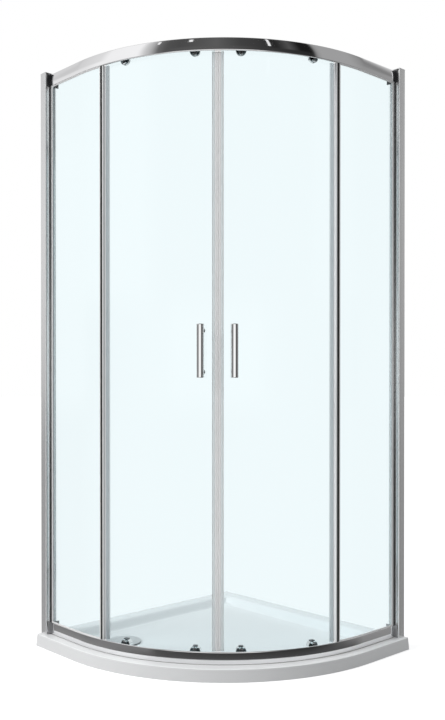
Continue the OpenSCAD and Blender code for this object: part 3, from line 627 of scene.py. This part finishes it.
for side, left in SIDES:
    fixed = make_piece(f"fixed_pane_{side}", [pane(PANE_START, PANE_STOP, FIXED_M, FIXED_EDGE, left)],
                       [pane_glass], "enclosure", smooth=PANE_SMOOTH)
    door = make_piece(f"door_pane_{side}", [pane(DOOR_START, DOOR_STOP, DOOR_M, DOOR_EDGE, left)],
                      [pane_glass], f"door_{side}", smooth=PANE_SMOOTH)
    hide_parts(f"fixed_glass_{side}")
    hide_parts(f"door_glass_{side}")
print("door pane", round(DOOR_STOP - DOOR_START, 4), "m wide")

# %% [markdown]
# ## Beads in front of the fixed panes
# A soft pale bead is pressed into the slot in front of each fixed pane and holds it against the
# divider. It runs from the side frame to the post, above the bottom rail and below the top one,
# and it is the light line along both. The same five corners are used at both rails.

# %% Pane beads
BEAD_OUTLINE = MM * np.array([[3.0, 37.5], [5.2, 37.5], [5.2, 44.0], [3.6, 44.0], [2.6, 40.6]])
# The beads start half a millimetre clear of the side frame, which reaches 7 mm over the glass
BEAD_EASE, BEAD_START = 0.0006, PROFILE_D + 0.0075
# The posts on the panes' free edges, which the beads run up to
POST_S0, POST_S1 = HALF_RUN - 0.4160, HALF_RUN - 0.3984
outlines = [in_rail(rounded(BEAD_OUTLINE, BEAD_EASE), top) for top in (True, False)]
for side, left in SIDES:
    beads = [swept(outline, BEAD_START, POST_S0, front_point, left=left) for outline in outlines]
    lips = make_piece(f"pane_beads_{side}", beads, [pale_rubber], "enclosure")
print("beads", round(POST_S0 - BEAD_START, 4), "m long")

# %% [markdown]
# ## Posts
# A slim aluminium post covers the free edge of each fixed pane, where the door's edge seal passes.
# Its bright reflection is painted, as an almost white colour. Its corners are eased so that they
# catch a thin light. A black rubber line runs down its front: a strip that stands a little proud,
# and not a stripe of paint, so that it has its own edges.

# %% Posts with a rubber line
# Depths of the post's front and back, and heights of its foot and head
POST_M0, POST_M1, POST_Z0, POST_Z1 = 0.0034, 0.0132, 0.080, 1.925
POST_EASE, LINE_EASE = 0.0014, 0.0004
# The line keeps clear of the post's two sides, stands proud of its front and is sunk into it
LINE_S0, LINE_S1 = POST_S0 + 0.005, POST_S1 - 0.004
LINE_M0, LINE_M1 = POST_M0 - 0.0006, POST_M0 + 0.001
post_plan = rounded(oblong(POST_S0, POST_S1, POST_M0, POST_M1), POST_EASE)
line_plan = rounded(oblong(LINE_S0, LINE_S1, LINE_M0, LINE_M1), LINE_EASE)
for side, left in SIDES:
    # The post's almost white colour is a painted reflection
    tube = upright(post_plan, POST_Z0, POST_Z1, left)
    post = make_piece(f"post_smooth_{side}", [tube], [painted_reflection_post_metal], "enclosure")
    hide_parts(f"post_{side}")
    line = upright(line_plan, POST_Z0, POST_Z1, left)
    rubber = make_piece(f"post_line_{side}", [line], [black_rubber], "enclosure")
print("posts", round(POST_S1 - POST_S0, 4), "m wide")

# %% [markdown]
# ## Wall profiles
# A deep channel is screwed to each wall, and it is open away from the wall. Its front edge turns
# in to a narrow lip, which mirrors bright light all the way down. That reflection is painted with
# the posts' almost white colour. The CAD solid is a plainer channel of the same size, without the
# lip and with sharp edges. Here the lip is added and every edge is eased, because the profiles
# draw the enclosure's outer lines.

# %% Wall channels
PROFILE_M0, PROFILE_M1, PROFILE_TOP = -0.016, 0.0275, 1.970
# Wall thickness of the profile, how far its front edge turns in, and how much its corners are eased
PROFILE_T, LIP_IN, PROFILE_EASE = 0.0018, 0.0036, 0.0016
# The lip, in the posts' painted reflection colour, reaches from the start of the outline's second corner to
# the end of its third
LIP_COLUMNS = (len(ROUND_STEPS), 3 * len(ROUND_STEPS) - 1)
d, t = PROFILE_D, PROFILE_T
wall_plan = rounded([
    [0, PROFILE_M0], [d, PROFILE_M0], [d, PROFILE_M0 + LIP_IN], [d - t, PROFILE_M0 + LIP_IN],
    [d - t, PROFILE_M0 + t], [t, PROFILE_M0 + t], [t, PROFILE_M1 - t], [d, PROFILE_M1 - t],
    [d, PROFILE_M1], [0, PROFILE_M1],
], PROFILE_EASE)
for side, left in SIDES:
    wall = make_piece(f"wall_channel_{side}", [upright(wall_plan, TRAY_H, PROFILE_TOP, left)],
                      [satin_metal, painted_reflection_post_metal], "enclosure", LIP_COLUMNS)
    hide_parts(f"wall_profile_{side}")
print("wall channels", round((PROFILE_M1 - PROFILE_M0) / MM, 1), "mm wide")

# %% [markdown]
# ## Side frames
# The enclosure's own side frame slides into the wall profile, which lets a fitter take up a wall
# that isn't plumb. Its web closes the profile, and two leaves hold the fixed pane between them in
# white gaskets. The leaf behind the glass mirrors the white gasket beside it, so it is a piece of
# its own, and that reflection is painted with the posts' almost white colour. Both leaves reach
# less far over the glass than the CAD's do, which is how narrow the frame looks.

# %% Web and leaves
# Gap in which the frame slides in the profile, how far its back leg reaches into it, and its ease
SLIDE_GAP, WEB_REACH, WEB_EASE = 0.0004, 0.023, 0.0005
# How far the leaves reach over the glass, the depths between which they hold it, and their ease
POCKET_D, POCKET_M0, POCKET_M1, LEAF_EASE = 0.007, 0.0019, 0.0147, 0.0008
web_m0, web_m1 = PROFILE_M0 + LIP_IN + SLIDE_GAP, PROFILE_M1 - t - SLIDE_GAP
web_plan = rounded([
    [d - t, web_m0], [d, web_m0], [d, web_m1], [d - WEB_REACH, web_m1], [d - WEB_REACH, web_m1 - t],
    [d - t, web_m1 - t],
], WEB_EASE)
front_plan, back_plan = (
    rounded(oblong(d - t, d + POCKET_D, m0, m0 + t), LEAF_EASE) for m0 in (POCKET_M0, POCKET_M1 - t)
)
# Leaves, bead and cord stand between the two rails
BETWEEN = (TRAY_H + RAIL_H, RAILS_TOP - RAIL_H)
for side, left in SIDES:
    # The back leaf's almost white colour is a painted reflection of the white gasket beside it
    back_leaf = make_piece(f"frame_back_leaf_{side}", [upright(back_plan, *BETWEEN, left)],
                           [painted_reflection_post_metal], "enclosure")
    tubes = [upright(web_plan, TRAY_H, RAILS_TOP, left), upright(front_plan, *BETWEEN, left)]
    side_frame = make_piece(f"side_frame_{side}", tubes, [frame_metal], "enclosure")
    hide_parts(f"frame_profile_{side}")
print("pocket", round((POCKET_M1 - POCKET_M0) / MM, 1), "mm wide outside")

# %% [markdown]
# Two thin lines run down the joint between profile and frame: a half-round polished bead beside
# the profile's lip, and a black cord in front of the pane's pocket, which paints in the dark
# reflection that the joint shows. They are a millimetre or two wide, and still they are what
# divides the bright upright into stripes. An ease wider than the outline makes it a half-round.

# %% Bead and cord
# Depths of each line's two sides, how far it stands proud of the web, and how deep it is sunk
BEAD_M, BEAD_HIGH = (-0.0095, -0.0065), 0.0012
# The black cord is a painted reflection: it stands for the dark line that the frame's side mirrors
PAINTED_CORD_M, PAINTED_CORD_HIGH = (-0.0002, 0.0013), 0.0006
SUNK, HALF_ROUND = 0.0006, 0.002
for side, left in SIDES:
    for name, (m0, m1), high, finish, slot in (
        ("bead", BEAD_M, BEAD_HIGH, chrome, "bright_profile"),
        ("painted_dark_cord", PAINTED_CORD_M, PAINTED_CORD_HIGH, black_rubber, "black_caps"),
    ):
        tube = upright(rounded(oblong(d - SUNK, d + high, m0, m1), HALF_ROUND), *BETWEEN, left)
        joint = make_piece(f"frame_{name}_{side}", [tube], [finish], "enclosure")
print("lines", round(BETWEEN[1] - BETWEEN[0], 3), "m long")

# %% [markdown]
# ## Seals where the doors meet
# Each door's closing edge wears a soft milky extrusion with a magnet inside. Its front is fluted,
# so the light runs down it in fine upright lines. A bump map could draw the flutes, but they would
# vanish from the outline and from the exported mesh. Here the depth of the front follows a cosine
# across the width.

# %% Fluted centre seals
# Width of a seal and its gap to the seam, depths of its front and back, heights of its foot and head
SEAL_W, SEAL_GAP, SEAL_M0, SEAL_M1 = 0.0185, 0.0004, 0.0157, 0.0243
SEAL_Z0, SEAL_Z1 = 0.0785, 1.9265
FLUTES, FLUTE_DEPTH, FLUTE_POINTS = 3, 0.0011, 43
across = np.linspace(0, 1, FLUTE_POINTS)
wave = FLUTE_DEPTH / 2 * (1 - np.cos(2 * pi * FLUTES * across))
s = HALF_RUN - SEAL_W + across * (SEAL_W - SEAL_GAP)
front_line = np.stack([s, SEAL_M0 + wave[::-1]], -1)
back_line = np.stack([s[::-1], np.full(len(s), SEAL_M1)], -1)
for side, left in SIDES:
    tube = upright(np.vstack([front_line, back_line]), SEAL_Z0, SEAL_Z1, left)
    seal = make_piece(f"centre_seal_{side}", [tube], [milky_seal], f"door_{side}")
    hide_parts(f"magnet_seal_{side}")
print("flutes", FLUTES, "on each seal")

# %% [markdown]
# ## The tray
# The tray is one casting with a curved front apron, a flat ledge for the rail and a shallow basin
# that falls to the waste. Subdividing a rough cage would give soft forms, but the rail and the
# profiles sit on flat, true edges. So its surface is a stack of rings instead. Each ring is the
# quarter outline, set in by some amount and lifted to some height.

# %% Outline of the tray
OUTLINE_POINTS, EDGE_POINTS = 64, 12


def quarter_outline(back_in, front_in):
    """A closed ring: the two back edges set in by back_in, and the curved front set in by front_in.
    It starts at the right wall, follows the curve to the left wall, and returns by the corner."""
    w, c = TRAY_W - front_in, TRAY_W - TRAY_R
    turn = np.linspace(0, pi / 2, OUTLINE_POINTS)
    radius = TRAY_R - front_in
    curve = np.stack([c + radius * np.cos(turn), -c - radius * np.sin(turn)], -1)
    t = np.linspace(0, 1, EDGE_POINTS, endpoint=False)[:, None]
    start, corner, stop = np.array([w, -back_in]), np.array([back_in, -back_in]), np.array([back_in, -w])
    parts = [start + t * (curve[0] - start), curve[:-1], curve[-1] + t * (stop - curve[-1]),
             stop + t * (corner - stop), corner + t * (start - corner)]
    return np.concatenate(parts)


def lifted(flat, z):
    """A flat ring of points, all at height z."""
    return np.concatenate([flat, np.full((len(flat), 1), z)], 1)


def tray_ring(back_in, front_in, z):
    """The tray's outline at height z, set in by back_in at the walls and by front_in elsewhere."""
    return lifted(quarter_outline(back_in, front_in), z)


print("points on a ring", len(quarter_outline(0, 0)))

# %% [markdown]
# Near the waste the rings change from the quarter outline to a circle. A share runs from 0 at the
# basin's edge to 1 at the round recess, and each point moves straight towards the waste by it. So
# every ring has as many points as the next, and the stack closes without a seam.

# %% Rings round the waste
# The basin's floor, the ledges at the back and at the front, and the slope down from them. The
# slope is wider than the CAD's, for the soft shade that the basin's edge has.
BASIN_Z, BACK_LEDGE, FRONT_LEDGE, BASIN_SLOPE = 0.014, 0.045, 0.084, 0.040
# Middle and radius of the waste's recess, its floor, and how far the basin falls towards it
WASTE, WASTE_R = np.array([0.205, -0.678]), 0.0565
RECESS_Z, FALL, FALL_FROM = 0.009, 0.002, 0.55
# Shares at which the basin's floor has a ring, closer together near the waste
FLOOR_SHARES = (0.12, 0.3, 0.55, 0.75, 0.88, 0.96, 1.0)


def waste_ring(share, z):
    """Between the basin's edge, at share 0, and the round recess of the waste, at share 1."""
    edge = quarter_outline(BACK_LEDGE + BASIN_SLOPE, FRONT_LEDGE + BASIN_SLOPE)
    way = edge - WASTE
    circle = WASTE + way / np.linalg.norm(way, axis=1)[:, None] * WASTE_R
    return lifted(edge + share * (circle - edge), z)


print("waste", WASTE, "m from the room's corner")

# %% [markdown]
# Up the apron the rings lean in evenly. A quarter circle takes them over the rim, and a smooth
# step, three t squared less two t cubed, takes them down into the basin, flat at both ends.

# %% Tray surface
RIM_ROUND, RIM_TURNS = 0.003, np.radians([0, 15, 30, 45, 60, 75, 90])
# A ring just above the floor keeps the apron's lower edge crisp
FOOT_Z, FOOT_SHARE = 0.0006, 0.98
# The rings up the apron end just below the rim's round
APRON_LIFTS, APRON_TOP = np.linspace(0.1, 0.9, 5), 0.92
SLOPE_RINGS = 9
rings = [tray_ring(0, -APRON_FLARE, 0.0), tray_ring(0, -APRON_FLARE * FOOT_SHARE, FOOT_Z)]
for lift in APRON_LIFTS:
    rings.append(tray_ring(0, -APRON_FLARE * (1 - lift), TRAY_H * lift * APRON_TOP))
for turn in RIM_TURNS:
    rings.append(tray_ring(0, RIM_ROUND * (1 - cos(turn)), TRAY_H - RIM_ROUND * (1 - sin(turn))))
for t in np.linspace(0, 1, SLOPE_RINGS):
    step = t * t * (3 - 2 * t)
    rings.append(tray_ring(BACK_LEDGE + BASIN_SLOPE * t, FRONT_LEDGE + BASIN_SLOPE * t,
                           TRAY_H + (BASIN_Z - TRAY_H) * step))
for share in FLOOR_SHARES:
    fall = FALL * max(0.0, (share - FALL_FROM) / (1 - FALL_FROM))
    rings.append(waste_ring(share, BASIN_Z - fall))
rings.append(waste_ring(1.0, RECESS_Z))
rings = to_frame(np.stack(rings))
tray = make_piece("tray_casting", [rings], [tray_white], "enclosure", smooth=50)
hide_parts("shower_tray")
print("tray", *rings.shape[:2], "rings and points")

# %% [markdown]
# ## Handles
# A round chromed bar stands on two studs that go through the glass. Turning gives such a shape its
# form on a lathe and here as well: the radius is given at each height, with a small round at the
# ends, and carried round the axis. Spin on an edge would do the same by hand.

# %% Turned shapes
def turned(origin, axis, reach, radius, steps=48):
    """A solid of revolution: at reach[i] along axis from origin, its radius is radius[i]."""
    axis = np.asarray(axis, float) / np.linalg.norm(axis)
    side_way = np.cross(axis, [0.0, 0.0, 1.0]) if abs(axis[2]) < 0.9 else np.array([1.0, 0.0, 0.0])
    side_way = side_way / np.linalg.norm(side_way)
    third = np.cross(axis, side_way)
    turn = np.linspace(0, 2 * pi, steps, endpoint=False)
    spokes = np.cos(turn)[:, None] * side_way + np.sin(turn)[:, None] * third
    return (np.asarray(origin) + np.asarray(reach)[:, None, None] * axis
            + np.asarray(radius)[:, None, None] * spokes)


# Middle of the handle along the front and in height, its length and the bar's radius
HANDLE_S, HANDLE_Z, HANDLE_LEN, HANDLE_R = HALF_RUN - 0.051, 1.005, 0.165, 0.012
# Round of the bar's ends, the rings that it takes, and the distance to a plain ring just inside
# each, which keeps the shading of the long part straight
END_ROUND, END_RINGS, PLAIN_STEP = 0.0015, 6, 0.0008
end_turn = np.radians(np.linspace(0, 90, END_RINGS))
end_reach = END_ROUND * (1 - np.cos(end_turn))
end_radius = HANDLE_R - END_ROUND * (1 - np.sin(end_turn))
half_reach = np.append(end_reach, END_ROUND + PLAIN_STEP)
half_radius = np.append(end_radius, HANDLE_R)
bar_reach = np.concatenate([half_reach, HANDLE_LEN - half_reach[::-1]])
bar_radius = np.concatenate([half_radius, half_radius[::-1]])
print("bar", len(bar_reach), "rings")

# %% [markdown]
# The bar and its two studs are one piece. Each stud starts on the bar's own axis, hidden inside
# it, so no seam has to be modelled where the two meet, and ends at the washer on the glass.

# %% Handles on their studs
# Gap between the bar and the glass, the studs' radius, distance apart and ease, and the washer
# under each stud
BAR_GAP, STUD_R, PITCH, STUD_EASE, WASHER_T = 0.028, 0.006, 0.128, 0.0006, 0.0013
BAR_M = DOOR_M - BAR_GAP - HANDLE_R
for side, left in SIDES:
    _, out = along_front(HANDLE_S, left)
    inward = np.array([-out[0], -out[1], 0.0])
    foot = front_point(HANDLE_S, BAR_M, HANDLE_Z - HANDLE_LEN / 2, left)
    shapes = [turned(foot, [0, 0, 1], bar_reach, bar_radius)]
    for z in (HANDLE_Z - PITCH / 2, HANDLE_Z + PITCH / 2):
        start = front_point(HANDLE_S, BAR_M, z, left)
        length = DOOR_M - WASHER_T - BAR_M
        shapes.append(turned(start, inward, [0.0, length - STUD_EASE, length],
                             [STUD_R, STUD_R, STUD_R - STUD_EASE]))
    handle = make_piece(f"handle_bar_{side}", shapes, [chrome], f"door_{side}", smooth=40)
    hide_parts(f"handle_{side}")
print("handles", HANDLE_LEN, "m long")

# %% [markdown]
# ## Release springs
# A small coil spring holds each lower wheel up against the rail until its button is pressed, which
# frees the door for cleaning behind it. A Screw modifier makes a helix from a circle, and here the
# same circle is carried round by a formula.

# %% Springs that flatten
# Radius of the coil and of its wire, number of turns, and the button's travel
SPRING_R, WIRE_R, COILS, PRESS = 0.0024, 0.00045, 6, 0.0025


def coil(middle, z0, z1, steps=144, sides=10):
    """A tube round a helix: at share t the centre is R.(cos, sin)(2 pi coils t) and the height goes
    evenly from z0 to z1. The wire's circle leans on the outward and the upward direction."""
    t = np.linspace(0, 1, steps)[:, None]
    q = np.linspace(0, 2 * pi, sides, endpoint=False)[None, :]
    angle = 2 * pi * COILS * t
    reach = SPRING_R + WIRE_R * np.cos(q)
    x, y = middle[0] + reach * np.cos(angle), middle[1] + reach * np.sin(angle)
    return np.stack([x, y, z0 + (z1 - z0) * t + WIRE_R * np.sin(q)], -1)


for side, _ in SIDES:
    for place in ("inner", "outer"):
        low_corner, high_corner = (np.array(corner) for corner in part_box(f"release_spring_{side}_{place}"))
        middle = (low_corner + high_corner) / 2
        wire = coil(middle, low_corner[2] + WIRE_R, high_corner[2] - WIRE_R)
        spring = make_piece(f"coil_spring_{side}_{place}", [wire], [steel], f"release_{side}_{place}")
        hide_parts(f"release_spring_{side}_{place}")
        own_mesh(spring)

# %% [markdown]
# ## The floor
# In a cut-out product picture the floor is as white as the space behind, and only a soft shadow
# tells where it is. Glossy rays pass through it, because what the metal mirrors is drawn
# further on.

# %% Floor
FLOOR_REACH = 40
floor_mesh = bpy.data.meshes.new("studio_floor")
r = FLOOR_REACH
floor_mesh.from_pydata([(-r, -r, 0), (r, -r, 0), (r, r, 0), (-r, r, 0)], [], [(0, 1, 2, 3)])
floor = bpy.data.objects.new("studio_floor", floor_mesh)
bpy.context.scene.collection.objects.link(floor)
floor.visible_glossy = False
floor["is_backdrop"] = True
print("floor", floor.name, 2 * FLOOR_REACH, "m wide")

# %% [markdown]
# More light would whiten the floor, but it would bleach the tray as well. So the floor's own
# material answers each kind of ray: the camera sees a glowing white that still takes a shadow,
# glass sees plain white, and everything else gets the mild light that a pale floor throws back.

# %% White that keeps a faint shadow
BOUNCE, SHOWN, GLOW = (0.44, 0.44, 0.44, 1), (0.6, 0.6, 0.6, 1), 0.55
WHITE = (1, 1, 1, 1)
floor_paint = bpy.data.materials.new("studio_floor_paint")
floor_paint.use_nodes = True
tree = floor_paint.node_tree
tree.nodes.remove(tree.nodes["Principled BSDF"])
bounce = add_node(tree, "ShaderNodeBsdfDiffuse", Color=BOUNCE)
shown = add_node(tree, "ShaderNodeBsdfDiffuse", Color=SHOWN)
glow = add_node(tree, "ShaderNodeEmission", Color=WHITE, Strength=GLOW)
bright = add_node(tree, "ShaderNodeAddShader")
path = add_node(tree, "ShaderNodeLightPath")
plain_white = add_node(tree, "ShaderNodeEmission", Color=WHITE, Strength=1.0)
pick, through = add_node(tree, "ShaderNodeMixShader"), add_node(tree, "ShaderNodeMixShader")
connect(
    tree,
    (shown.outputs["BSDF"], bright.inputs[0]),
    (glow.outputs["Emission"], bright.inputs[1]),
    (path.outputs["Is Camera Ray"], pick.inputs["Fac"]),
    (bounce.outputs["BSDF"], pick.inputs[1]),
    (bright.outputs["Shader"], pick.inputs[2]),
    (path.outputs["Is Transmission Ray"], through.inputs["Fac"]),
    (pick.outputs["Shader"], through.inputs[1]),
    (plain_white.outputs["Emission"], through.inputs[2]),
    (through.outputs["Shader"], tree.nodes["Material Output"].inputs["Surface"]),
)
floor_mesh.materials.append(floor_paint)
print("floor nodes", len(tree.nodes))

# %% [markdown]
# ## What the metal mirrors
# Polished metal has almost no colour of its own: it is what it mirrors. White cards and dark
# screens stood round the enclosure would do it, as in a real studio, but every other view would
# show them. So the studio is drawn by direction alone: a bright wall at the left, a dark room in
# front and a grey wall at the right. It differs with height, so there is one row of brightness by
# heading for each of seven heights, and the world blends from one to the next.

# %% The studio by heading and height
# Pairs of a heading in degrees and the brightness there
STUDIO = {
    "deep": [(-180, .8), (-126, .85), (-90, .82), (-75, .75), (-60, .6), (-43, .45), (-30, .4), (54, .42),
             (100, .6), (180, .8)],
    "low": [(-180, .3), (-148, .27), (-126, .24), (-113, .2), (-90, .12), (-80, .08), (-43, .07),
            (0, .06), (32, .08), (43, .1), (54, .26), (80, .4), (180, .3)],
    "near": [(-180, .4), (-150, .22), (-137, .16), (-126, .2), (-113, .22), (-90, .2), (-84, .08),
             (-60, .05), (-10, .04), (10, .03), (20, .05), (32, .12), (54, .33), (70, .5), (180, .4)],
    "level": [(-180, .55), (-165, .6), (-150, .72), (-144, .72), (-136, .25), (-128, .1), (-114, .1),
              (-104, .25), (-88, .45), (-80, .5), (-73, 1), (-24, 1), (-15, .35), (-4, .1), (20, .08),
              (32, .12), (46, .1), (51, .35), (54, .47), (62, .47), (104, .4), (180, .55)],
    "middle": [(-180, .6), (-150, .86), (-137, .85), (-126, .95), (-96, .99), (-91, .62), (-88, .5),
               (-83, .15), (-78, .09), (-48, .11), (-22, .045), (11, .02), (13.5, .3), (17, .38),
               (39, .38), (50, .32), (54, .36), (60, .75), (100, .8), (180, .6)],
    "high": [(-180, .6), (-160, .75), (-150, .72), (-147, .63), (-144, .7), (-125, .8), (-118, .97),
             (-96, .99), (-91, .62), (-88, .5), (-83, .15), (-78, .09), (-70, .075), (-58, .095),
             (-48, .115), (-42, .09), (-34, .06), (-22, .045), (-12, .022), (-8, .05), (-4, .088),
             (0, .04), (3, .012), (11, .012), (13.5, .3), (17, .38), (39, .38), (50, .29), (54, .22),
             (60, .75), (100, .8), (180, .6)],
    "sky": [(-180, .35), (180, .35)],
}
# Each row and the upward shares of the direction between which it takes over from the one before
BLENDS = [
    ("low", -0.37, -0.345), ("near", -0.32, -0.07), ("level", -0.05, -0.01), ("middle", 0.065, 0.11),
    ("high", 0.24, 0.29), ("sky", 0.72, 0.8),
]
print("studio rows", len(STUDIO))

# %% [markdown]
# The world finds the heading of each ray from the arc tangent of its direction, y over x, and
# turns that angle into a share of the whole turn, which a colour ramp can read.

# %% Heading of each ray
world = bpy.data.worlds.new("studio")
bpy.context.scene.world = world
world.use_nodes = True
# Rays find the world by reaching it, so it needn't be sampled as a lamp as well
if hasattr(world, "cycles"):
    world.cycles.sampling_method = "NONE"
tree = world.node_tree
tree.nodes.clear()
direction = add_node(tree, "ShaderNodeTexCoord")
parts = add_node(tree, "ShaderNodeSeparateXYZ")
heading = add_node(tree, "ShaderNodeMath", "ARCTAN2")
turns = add_node(tree, "ShaderNodeMapRange", From_Min=-pi, From_Max=pi)
connect(
    tree,
    (direction.outputs["Generated"], parts.inputs["Vector"]),
    (parts.outputs["Y"], heading.inputs[0]),
    (parts.outputs["X"], heading.inputs[1]),
    (heading.outputs["Value"], turns.inputs["Value"]),
)
print("nodes for the heading", len(tree.nodes))

# %% [markdown]
# Each row is then a colour ramp, looked up by that share. The upward share of the direction blends
# the rows, from the deepest one up to the sky.

# %% Rows of the studio
def share_of_turn(angle):
    """A heading from -180 to 180 degrees as a share from 0 to 1."""
    return (angle + 180) / 360


def studio_row(levels):
    """Brightness by heading, as a colour ramp over the whole turn."""
    ramp = add_node(tree, "ShaderNodeValToRGB")
    stops = ramp.color_ramp.elements
    stops[0].position, stops[1].position = 0.0, 1.0
    for stop, (_, level) in zip((stops[0], stops[1]), (levels[0], levels[-1])):
        stop.color = (level, level, level, 1)
    for angle, level in levels[1:-1]:
        stops.new(share_of_turn(angle)).color = (level, level, level, 1)
    connect(tree, (turns.outputs["Result"], ramp.inputs["Fac"]))
    return ramp.outputs["Color"]


def mixed(factor, one, other):
    """Two colours mixed by a factor, all three given as sockets."""
    mix = add_node(tree, "ShaderNodeMix")
    mix.data_type = "RGBA"
    connect(tree, (factor, mix.inputs["Factor"]), (one, mix.inputs["A"]), (other, mix.inputs["B"]))
    return mix.outputs["Result"]


studio = studio_row(STUDIO["deep"])
for row, from_z, to_z in BLENDS:
    step = add_node(tree, "ShaderNodeMapRange", From_Min=from_z, From_Max=to_z)
    connect(tree, (parts.outputs["Z"], step.inputs["Value"]))
    studio = mixed(step.outputs["Result"], studio, studio_row(STUDIO[row]))
print("world nodes", len(tree.nodes))

# %% [markdown]
# Three small lamps glint in the top rail: a thin strip and two spots. Area lamps would stand in the
# way of other views, so each is a short band of heading and of height drawn over the rows.

# %% Glints
# Middle heading and half width in degrees, and the upward shares between which it shines
GLINTS = [(-16.4, 0.8, 0.325, 0.6), (-64.0, 1.3, 0.46, 0.54), (-84.5, 0.9, 0.46, 0.54)]


def inside(value, middle, reach):
    """1 where the value lies within reach of the middle, and 0 elsewhere."""
    compare = add_node(tree, "ShaderNodeMath", "COMPARE")
    compare.inputs[1].default_value = middle
    compare.inputs[2].default_value = reach
    connect(tree, (value, compare.inputs[0]))
    return compare.outputs["Value"]


for angle, spread, low_z, high_z in GLINTS:
    both = add_node(tree, "ShaderNodeMath", "MULTIPLY")
    white = add_node(tree, "ShaderNodeRGB")
    white.outputs[0].default_value = WHITE
    connect(
        tree,
        (inside(turns.outputs["Result"], share_of_turn(angle), spread / 360), both.inputs[0]),
        (inside(parts.outputs["Z"], (low_z + high_z) / 2, (high_z - low_z) / 2), both.inputs[1]),
    )
    studio = mixed(both.outputs["Value"], studio, white.outputs[0])
print("glints", len(GLINTS))

# %% [markdown]
# ## White to look at, the studio to mirror
# The eye, straight or through glass, sees a pure white background. Mirroring surfaces see the
# studio, and matt ones get an even, slightly cool light from all round. One world could not be all
# three, so Light Path asks each ray what it is.

# %% World shaders
AMBIENT_TINT, AMBIENT = (0.97, 0.985, 1, 1), 0.3
mirrored = add_node(tree, "ShaderNodeBackground")
plain = add_node(tree, "ShaderNodeBackground", Color=WHITE, Strength=1.0)
ambient = add_node(tree, "ShaderNodeBackground", Color=AMBIENT_TINT, Strength=AMBIENT)
rays = add_node(tree, "ShaderNodeLightPath")
viewed = add_node(tree, "ShaderNodeMath", "MAXIMUM")
glossy_mix, view_mix = add_node(tree, "ShaderNodeMixShader"), add_node(tree, "ShaderNodeMixShader")
output = add_node(tree, "ShaderNodeOutputWorld")
connect(
    tree,
    (studio, mirrored.inputs["Color"]),
    (rays.outputs["Is Camera Ray"], viewed.inputs[0]),
    (rays.outputs["Is Transmission Ray"], viewed.inputs[1]),
    (rays.outputs["Is Glossy Ray"], glossy_mix.inputs["Fac"]),
    (ambient.outputs["Background"], glossy_mix.inputs[1]),
    (mirrored.outputs["Background"], glossy_mix.inputs[2]),
    (viewed.outputs["Value"], view_mix.inputs["Fac"]),
    (glossy_mix.outputs["Shader"], view_mix.inputs[1]),
    (plain.outputs["Background"], view_mix.inputs[2]),
    (view_mix.outputs["Shader"], output.inputs["Surface"]),
)
print("ambient strength", AMBIENT)

# %% [markdown]
# ## Lamps
# Two distant lamps shape the tray: one almost overhead lights its ledges and floor, and one from
# the left lights that side of the apron more than the right. A sun lamp with a wide angle gives a
# soft shadow and lights every view alike. Mirrors and the camera don't see either lamp.

# %% Two soft suns
def soft_sun(name, azimuth, elevation, strength, spread):
    """A distant lamp that shines from a heading and a height in degrees. Spread is how wide it is in
    the sky, also in degrees."""
    data = bpy.data.lights.new(name, "SUN")
    data.energy, data.angle = strength, radians(spread)
    lamp = bpy.data.objects.new(name, data)
    lamp.rotation_euler = (radians(90 - elevation), 0, radians(azimuth + 90))
    lamp.visible_glossy = False
    lamp.visible_camera = False
    lamp.visible_transmission = False
    bpy.context.scene.collection.objects.link(lamp)


soft_sun("overhead", 0, 88, 1.5, 50)
soft_sun("left_window", -112, 30, 1.75, 30)
print("lamps", len(bpy.data.lights))

# %% [markdown]
# ## Camera
# The camera stands 2.7 m in front of the seam, 0.91 m above the floor, and looks almost level,
# so the uprights stay upright. The enclosure sits a little off the picture's middle, and a small
# vertical shift does that without tilting the camera.

# %% Camera
CAMERA_AT = (2.20509, -2.05303, 0.91411)
LOOK_DOWN, HEADING = 0.391, 46.9716
# Sensor and focal length in millimetres, and the shift as a share of the picture's longer side
SENSOR, LENS, SHIFT_UP = 36, 44.047, 0.03706
camera_data = bpy.data.cameras.new("camera")
camera = bpy.data.objects.new("camera", camera_data)
bpy.context.scene.collection.objects.link(camera)
camera.location = CAMERA_AT
camera.rotation_euler = (radians(90 - LOOK_DOWN), 0, radians(HEADING))
camera_data.sensor_width = SENSOR
camera_data.lens = LENS
camera_data.shift_y = SHIFT_UP
camera_data.clip_end = 5 * FLOOR_REACH
bpy.context.scene.camera = camera
bpy.context.scene.view_settings.view_transform = "Standard"
seam = front_point(HALF_RUN, 0.0, CAMERA_AT[2])
print("camera", round(float(np.linalg.norm(seam - CAMERA_AT)), 2), "m from the seam")

# %% [markdown]
# ## Size of the dressed model
# The dressed model may not outgrow the CAD model. The box round all that is shown is printed.

low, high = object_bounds()
print("visual box", [round(v, 4) for v in (*low, *high)])
